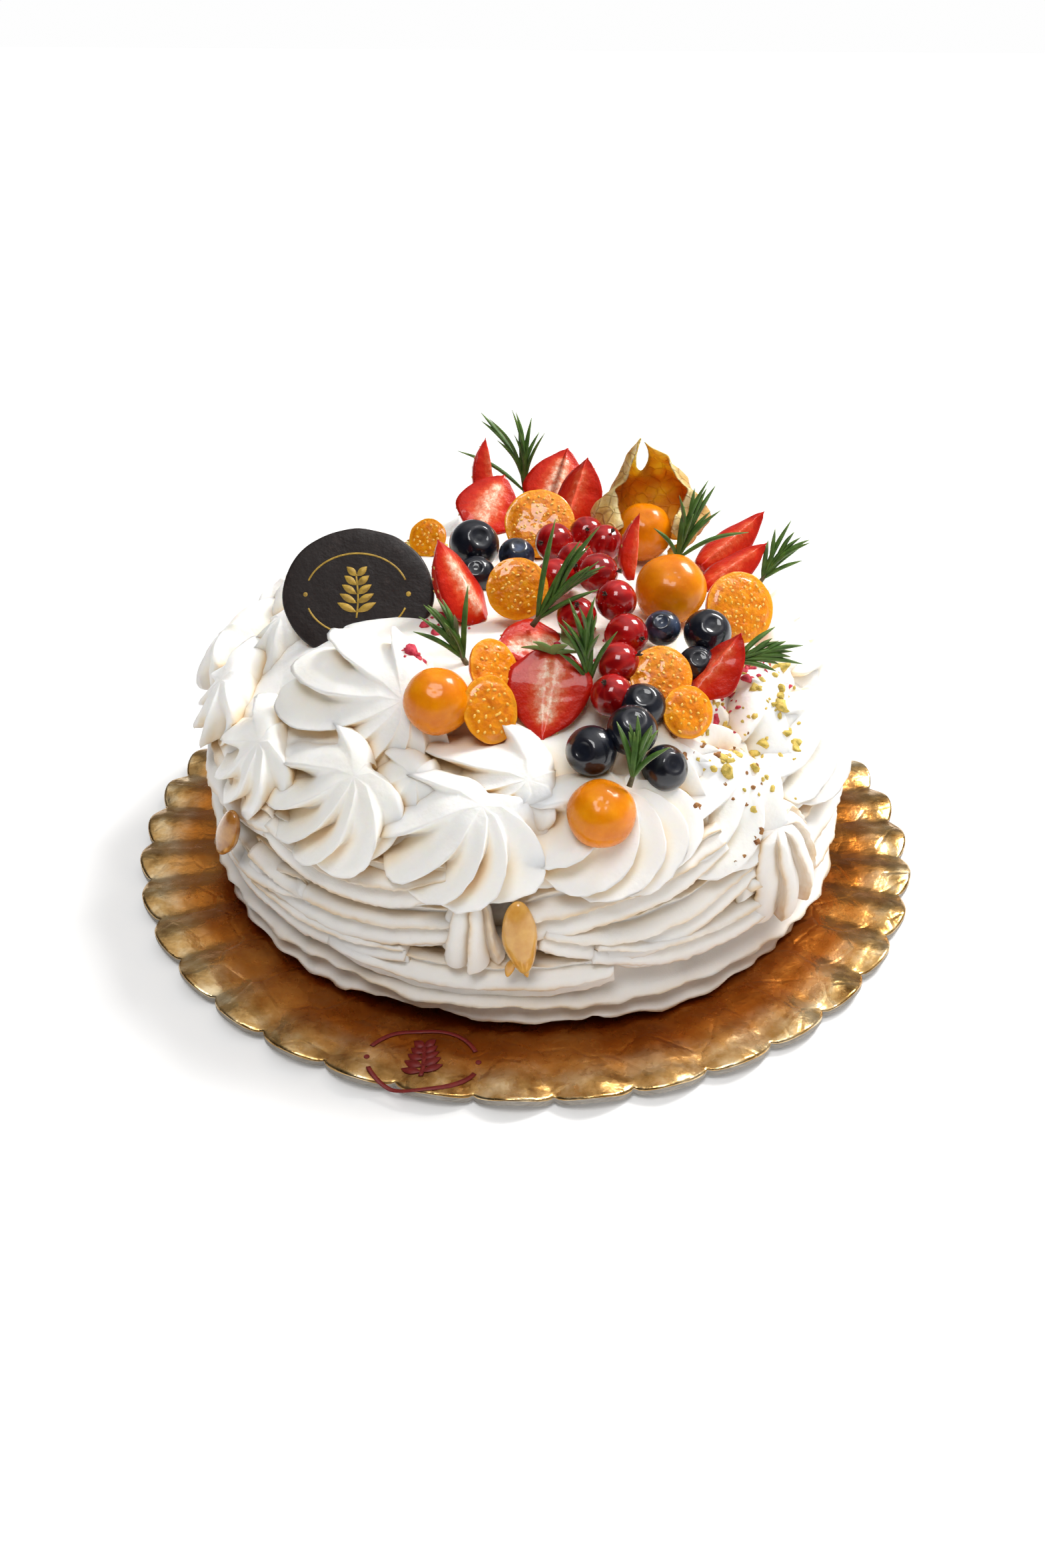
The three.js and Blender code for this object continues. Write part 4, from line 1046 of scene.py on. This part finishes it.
# place, width, turn and rise of the crown
BLUEBERRIES = [
    ((-15, 8, 90.5), 14.2, 25, 40), ((-3, 1.5, 90), 10, 10, 60), ((-14, -4, 86.5), BLUEBERRY),
    ((34, -37, 86.5), 9.2, -20, 50), ((45, -39.5, 86.5), 12.1, 10, 50), ((27, -66, 80.5), 11, 0, 60),
    ((24, -75, 79.2), BLUEBERRY + 1.3, 0, 60), ((14.7, -77.5, 75.2), BLUEBERRY + 1.3, -30, 30),
    ((31.8, -77.5, 70.8), BLUEBERRY + 0.3, 30, 40), ((41.5, -49, 82.5), 9.4),
]
DUSTY = (2, 4)                      # the blueberries with bloom on their skin
# places
CURRANTS = [
    (7.5, 5, 92.5), (17, 13.5, 91.5), (21.5, 4.5, 92.5), (18.5, -17, 92.5), (22.5, -30.5, 91),
    (12.5, -35, 88.5), (24.5, -42.5, 87), (22, -53.5, 85), (20, -63, 81.5), (13, -8, 92), (7.5, -15.5, 90.5),
]
# place, way to the tip, way that the cut faces, length, width, arc of skin
STRAWBERRIES = [
    ((-17, -22, 92.5), (-110, 58), (60, 30), 24, 16, 150),
    ((5, -60, 79.5), (-10, -50), (-5, 38), 22, 20, 190),
    ((1, -41, 83.5), (-60, 12), (0, 60), 20, 16, 180),
    ((45.5, -54, 85.5), (118, 46), (-50, 30), 18, 14, 130),
    ((-11.5, 44, 90.5), (150, 35), (10, 45), 21, 19, 170),
    ((-12, 57, 96), (-160, 65), (60, 10), 20, 12, 120),
    ((9.5, 54, 94.5), (160, 40), (0, 40), 22, 20, 160),
    ((15, 38, 96.5), (150, 55), (-25, 25), 20, 16, 130),
    ((59.5, 18, 89), (120, 30), (0, 60), 25, 13, 120),
    ((58.5, 4, 87), (115, 25), (0, 60), 22, 12, 120),
    ((29.5, -4, 95), (170, 70), (70, 10), 18, 9, 110),
]
WITH_CALYX = (2, 3)                 # the strawberries that still have their leaves
# place, needles by turn, rise and length, and their width
SPRIGS = [
    ((-15.5, -46, 82), [(-110, 40, 15), (-98, 28, 14), (-128, 60, 16), (170, 72, 18), (-80, 66, 11)]),
    ((2.5, -37, 88.5), [(140, 72, 25), (115, 56, 21), (98, 44, 21), (92, 28, 17)]),
    ((15, -57, 81), [(-150, 66, 21), (-100, 64, 18), (172, 76, 20), (95, 66, 15), (-80, 50, 12)]),
    ((23.5, -86, 73.5), [(-140, 60, 13), (150, 72, 11), (130, 50, 12), (90, 45, 11)]),
    ((51, -48, 83), [(120, 32, 13), (95, 16, 12), (85, 2, 16), (70, -6, 10)]),
    ((41, -4, 91.5), [(130, 66, 22), (170, 75, 14), (105, 50, 17), (95, 22, 20), (-100, 50, 11)]),
    ((67, 6, 81.5), [(130, 58, 18), (108, 38, 15), (88, 30, 12), (170, 62, 11)]),
    ((-1, 60, 88), [(-115, 80, 26), (150, 80, 23), (90, 72, 20), (-100, 28, 25)], 2.6),
]

# ---------------------------------------------------------------- making the pieces


def make(name, node, slot, materials, shape, *row, **rest):
    """One topping: a shape made from a row of its table, in place of its node."""
    skin = Skin()
    shape(skin, *row, **rest)
    skin.build(name, materials, slot, node)


cardboard = blotched("cardboard", (3, 4, 0.6, (1, 1, 12)), (0.20, 0.18, 0.155), (0.42, 0.38, 0.33),
                     (0.7, 2, 0.15), Roughness=0.85)
card().build("board_foil", [foil_paint(), cardboard], "foil_board", "cake_board")
meringue_base().build("meringue_ropes", [meringue_paint()], "meringue", "meringue_base")
made_cream = cream()
made_cream.build("cream_rosettes", [cream_paint()], "cream", "cream_swirls")
cream_tree = BVHTree.FromPolygons(made_cream.points, made_cream.faces)

pale_seeds = blotched("pale_seeds", (1.5, 2), (0.84, 0.40, 0.03), (0.92, 0.56, 0.12), coat=(0.35, 0.12),
                      Roughness=0.3, shine=0.3)
physalis = [physalis_paint(), physalis_flesh_paint(), pale_seeds]
for i, row in enumerate(WHOLE_PHYSALIS, 1):
    make(f"whole_physalis_{i}", f"physalis_whole_{i}", "physalis", physalis[:1], round_fruit, *row, seed=i)
for i, row in enumerate(CUT_PHYSALIS, 1):
    make(f"half_physalis_{i}", f"physalis_cut_{i}", "physalis", physalis, half_fruit, *row, seed=i)

glossy_blue, dusty_blue = blueberry_paint("blueberry_glossy", 0.08), blueberry_paint("blueberry_dusty", 0.9)
for i, row in enumerate(BLUEBERRIES, 1):
    paint = dusty_blue if i in DUSTY else glossy_blue
    make(f"berry_blue_{i}", f"blueberry_{i}", "blueberry", [paint], round_fruit, *row, tall=0.9,
         kind="blueberry", seed=i)

dried = blotched("dried_tip", (0.5, 3), (0.02, 0.010, 0.006), (0.09, 0.05, 0.03), (0.4, 3, 0.12),
                 Roughness=0.8)
currant = [currant_paint(), dried]
for i, at in enumerate(CURRANTS):
    make(f"currant_red_{i + 1}", f"redcurrant_{i + 1}", "redcurrant", currant, round_fruit, at,
         CURRANT - 0.3 * (i % 3), -40 + 37 * (i % 4), 15 + 20 * (i % 3), kind="currant", seed=i + 1)

calyx_green = leaf_paint("calyx_green", (0.045, 0.11, 0.012), (0.12, 0.24, 0.03), (0.22, 0.34, 0.12))
achenes = crumb_paint("achenes", (0.42, 0.22, 0.05), (0.75, 0.52, 0.18), 0.45)
strawberry = [strawberry_skin_paint(), strawberry_flesh_paint(), achenes, calyx_green]
for i, row in enumerate(STRAWBERRIES, 1):
    made = Skin()
    wedge_fruit(made, *row, seed=i)
    if i in WITH_CALYX:
        at, along, _, long, *_ = row
        calyx(made, at, along, long, i)
    made.build(f"strawberry_piece_{i}", strawberry, "strawberry", f"strawberry_{i}")

husk().build("papery_husk", [husk_paint()], "husk", "physalis_husk")

needle_green = leaf_paint("needle_green", (0.028, 0.075, 0.010), (0.085, 0.175, 0.025), (0.24, 0.27, 0.17))
stem_brown = crumb_paint("stem_brown", (0.07, 0.055, 0.025), (0.17, 0.14, 0.07))
for i, row in enumerate(SPRIGS, 1):
    make(f"rosemary_sprig_{i}", f"rosemary_{i}", "rosemary", [needle_green, stem_brown], sprig, *row, seed=i)

# ---------------------------------------------------------------- the plaque and the ornaments

PLAQUE_EDGE = [(4, 1), (0.9, 1), (0.35, 0.9), (0.05, 0.625), (0, 0), (0.05, -0.625), (0.35, -0.9), (4, -1)]
plaque_frame = frame_at(v(-45, -17, 86), aim(-8, 32), 4)


def plaque(skin):
    rows = []
    for inset, level in PLAQUE_EDGE:
        row = []
        for turn in turns(128):
            point = v((PLAQUE["wide"] / 2 - inset) * cos(turn), (PLAQUE["tall"] / 2 - inset) * sin(turn),
                      level * PLAQUE["thick"] / 2)
            point += wobble(point, 6, 0.25, 2) * (1 if inset < 1 else 0.2)
            row.append(plaque_frame @ point)
        rows.append(row)
    skin.loft(rows)


def ribbon(skin, matrix, points, half, lift):
    """A raised band along points; half gives half its width at each part of its length."""
    rows = []
    last = len(points) - 1
    for i, point in enumerate(points):
        ahead = points[min(i + 1, last)] - points[max(i - 1, 0)]
        side = v(-ahead.y, ahead.x, 0).normalized() * half(i / last)
        rows.append([matrix @ (point + offset) for offset in
                     (side, side + UP * lift, UP * lift - side, -side)])
    skin.loft(rows)


def motif(skin, matrix, size, lift, bold=1.0):
    """A generic ornament: an open oval line, a stem with pairs of leaves, and two dots."""
    def line(part):
        return size * 0.035 * bold / 2

    def leaf(part):
        return size * (0.06 + 0.015 * bold) * sin(pi * part) + 0.02
    wide, tall, dot = size * 1.12, size * 0.86, size * 0.06
    for start, end in ((20, 160), (200, 340)):
        arc = [v(wide * cosine(a), tall * sine(a), 0) for a in range(start, end + 1, 4)]
        ribbon(skin, matrix, arc, line, lift)
    stem = [v(size * 0.03 * sin(i / 3), size * (-0.5 + i / 12), 0) for i in range(12)]
    ribbon(skin, matrix, stem, line, lift)
    for pair in range(5):
        for way in (-1, 1):
            root = v(0, size * (-0.38 + 0.19 * pair), 0)
            tip = root + v(way * size * (0.42 - 0.05 * pair), size * 0.2, 0)
            ribbon(skin, matrix, [root.lerp(tip, part) for part in spread(8)], leaf, lift)
    for way in (-1, 1):
        ball(skin, matrix @ v(way * wide, 0, 0), (dot, dot, lift), turn_only(matrix), 12, 6)


make("oval_plaque", "chocolate_plaque", "chocolate", [chocolate_paint()], plaque)
made = Skin()
motif(made, plaque_frame @ Matrix.Translation((0, 0, 1.1)), 12.5, 0.22)
made.build("plaque_motif", [print_paint("gold_print", (0.60, 0.38, 0.05), (0.30, 0.18, 0.03))], "chocolate")
made = Skin()
motif(made, Matrix.Translation((-24.3, -104.5, 0)), 12, 0.15, 2.6)
for point in made.points:
    point.z += card_height(hypot(point.x, point.y), bearing(point)) + CARD["thick"] + 0.05
red_print = print_paint("red_print", (0.16, 0.005, 0.006), (0.22, 0.014, 0.010))
made.build("board_motif", [red_print], "foil_board")

# ---------------------------------------------------------------- caramel between the layers


def drop(skin, at, facing, across, long, deep, slant, seed):
    """A flattened drop on the wall, narrower at its top."""
    matrix = frame_at(at, aim(*facing), slant)

    def surface(tilt, turn):
        x, y, z = sin(tilt) * cos(turn), -cos(tilt), sin(tilt) * sin(turn)
        point = v(x * (1 - 0.3 * max(0, -y)) * across / 2, y * long / 2, z * deep / 2)
        return matrix @ (point + wobble(point, 7, 0.4, seed))
    globe(skin, surface, 28, 24)


made = Skin()
drop(made, (-0.9, -95.5, 35), (2, 8), 8.4, 20, 6, 4, 1)
drop(made, (0.2, -96.2, 26.5), (2, 0), 2.2, 6, 2.4, 10, 2)
drop(made, (-3.4, -96.2, 26.3), (2, 0), 2.4, 5, 2.4, -14, 3)
caramel = caramel_paint("caramel", (0.60, 0.28, 0.045), (0.76, 0.43, 0.10))
made.build("caramel_drop_front", [caramel], "caramel", "caramel_front")
# A darker copy of the caramel: painted shade for the drop on the shaded left side.
caramel_shaded = caramel_paint("caramel_shaded", (0.32, 0.12, 0.02), (0.55, 0.27, 0.06))
make("caramel_drop_left", "caramel_left", "caramel", [caramel_shaded], drop, (-76.5, -60, 38.5), (-52, 10),
     8, 17, 5, -24, 4)

# ---------------------------------------------------------------- crumbs

# name, two tones, how thick for its size
CRUMB_KINDS = [
    ("raspberry_bits", (0.36, 0.008, 0.03), (0.68, 0.07, 0.11), 0.62),
    ("pistachio_bits", (0.40, 0.30, 0.05), (0.80, 0.58, 0.14), 0.62),
    ("toasted_flakes", (0.16, 0.05, 0.015), (0.42, 0.20, 0.06), 0.42),
]
# distance out, angle, size, kind
CRUMBS = [
    (58, -119, 4.4, 0), (55, -114, 4, 0), (73, -54, 5, 0), (72, -50, 3.8, 0), (67, -40, 4.4, 0),
    (65, -34, 3.4, 0), (76, -49, 3.6, 1), (84, -64, 3.2, 1), (85, -56, 3.4, 1), (82, -48, 3.4, 2),
    (80, -37, 4.6, 1), (74, -27, 4, 1), (50, -165, 4.4, 1),
]
# distance out and angle of the middle, half width, count, kind
PATCHES = [
    (73, -53, 7, 22, 0), (67, -36, 6, 12, 0), (56, -117, 5, 10, 0), (79, -52, 13, 50, 1),
    (76, -33, 10, 22, 1), (82, -56, 14, 36, 2), (50, -165, 8, 10, 1), (62, 170, 8, 6, 1),
    (62, -57, 6, 16, 0), (64, -42, 9, 22, 0),
    (22, 10, 18, 34, 0), (40, -72, 12, 14, 0), (69, -30, 8, 14, 0), (30, 100, 14, 10, 0), (66, -52, 9, 30, 1),
    (80, -44, 12, 30, 1), (46, 141, 11, 60, 1), (46, 141, 9, 24, 2), (33, -127, 7, 12, 0),
]
crumb_skins = [Skin() for _ in CRUMB_KINDS]


def lay_crumb(out, degrees, size, kind, seed):
    """A crumb on the cream, found straight below a point above the cake."""
    hit, normal, _, _ = cream_tree.ray_cast(polar(out, degrees, 130), -UP)
    if hit is None:
        return
    draw = seeded(seed + 40)
    matrix = turn_only(frame_at(Vector(), normal if normal.z > 0 else -normal, 360 * draw()))
    halves = (size * 0.55, size * lerp(0.36, 0.5, draw()), size * CRUMB_KINDS[kind][3] / 2)
    ball(crumb_skins[kind], hit + normal * size * 0.12, halves, matrix, 9, 7, rough=size * 0.28, seed=seed)


for i, spec in enumerate(CRUMBS):
    lay_crumb(*spec, i)
scatter = seeded(77)
for middle_out, middle_degrees, wide, count, kind in PATCHES:
    for i in range(count):
        turn = 2 * pi * scatter()
        reach = wide * sqrt(scatter())
        place = polar(middle_out, middle_degrees, 0) + v(reach * cos(turn), reach * sin(turn), 0)
        size = lerp(0.8, 3.0, scatter() ** 1.8)
        lay_crumb(place.length, bearing(place), size, kind, i + 100 * kind + count)
for (name, dark, light, _), skin in zip(CRUMB_KINDS, crumb_skins):
    skin.build(name, [crumb_paint(name, dark, light)], "cream")

# ---------------------------------------------------------------- floor, light and camera

FLOOR = 40                          # half its width, in metres
floor = bpy.data.meshes.new("floor")
floor.from_pydata([(-FLOOR, -FLOOR, 0), (FLOOR, -FLOOR, 0), (FLOOR, FLOOR, 0), (-FLOOR, FLOOR, 0)],
                  [], [(0, 1, 2, 3)])
floor.materials.append(floor_paint())
floor_piece = link("floor", floor)


def area_light(name, place, wide, power, colour=(1, 1, 1)):
    lamp = bpy.data.lights.new(name, "AREA")
    lamp.size = wide
    lamp.energy = power
    lamp.color = colour
    holder = link(name, lamp)
    holder.location = place
    holder.rotation_euler = (v(0, 0, 0.05) - Vector(place)).to_track_quat("-Z", "Y").to_euler()


area_light("key", (0.65, 0.4, 1.0), 0.4, 17, (1, 0.985, 0.96))
area_light("fill", (-0.15, -0.65, 1.3), 0.5, 8)

# The sky is bright below and above and darker round the horizon, and dimmer on the shaded side.
SKY = [(0.0, 1.1), (0.06, 1.1), (0.14, 0.3), (0.6, 0.3), (1.0, 1.2)]
world = bpy.data.worlds.new("studio")
bpy.context.scene.world = world
world.use_nodes = True
sky = Nodes(world.node_tree, "Generated")
split = sky.node("SeparateXYZ", {0: sky.place})
background = world.node_tree.nodes["Background"]
bands = [(place, (value,) * 3) for place, value in SKY]
sky.feed(background.inputs["Color"], sky.ramp(split.outputs["Z"], *bands))
toward = sky.vector("DOT_PRODUCT", sky.place, SHADED)
sky.feed(background.inputs["Strength"], sky.level(toward, -0.1, 0.5, 0.9, 0.12))
bpy.context.scene.view_settings.view_transform = "Standard"

SENSOR = 36
FOCAL_PIXELS, PHOTO_HEIGHT = 1684, 2352
camera = bpy.data.cameras.new("camera")
camera.sensor_width = SENSOR
camera.lens = SENSOR * FOCAL_PIXELS / PHOTO_HEIGHT
camera.clip_start = 0.01
camera_piece = link("camera", camera)
pitch, yaw, roll = 33.45, -0.19, 0.35
ahead = v(sine(yaw) * cosine(pitch), cosine(yaw) * cosine(pitch), -sine(pitch))
turned_view = ahead.to_track_quat("-Z", "Y").to_matrix().to_4x4() @ Matrix.Rotation(radians(roll), 4, "Z")
camera_piece.matrix_world = Matrix.Translation((0, -0.2935, 0.2088)) @ turned_view
bpy.context.scene.camera = camera_piece
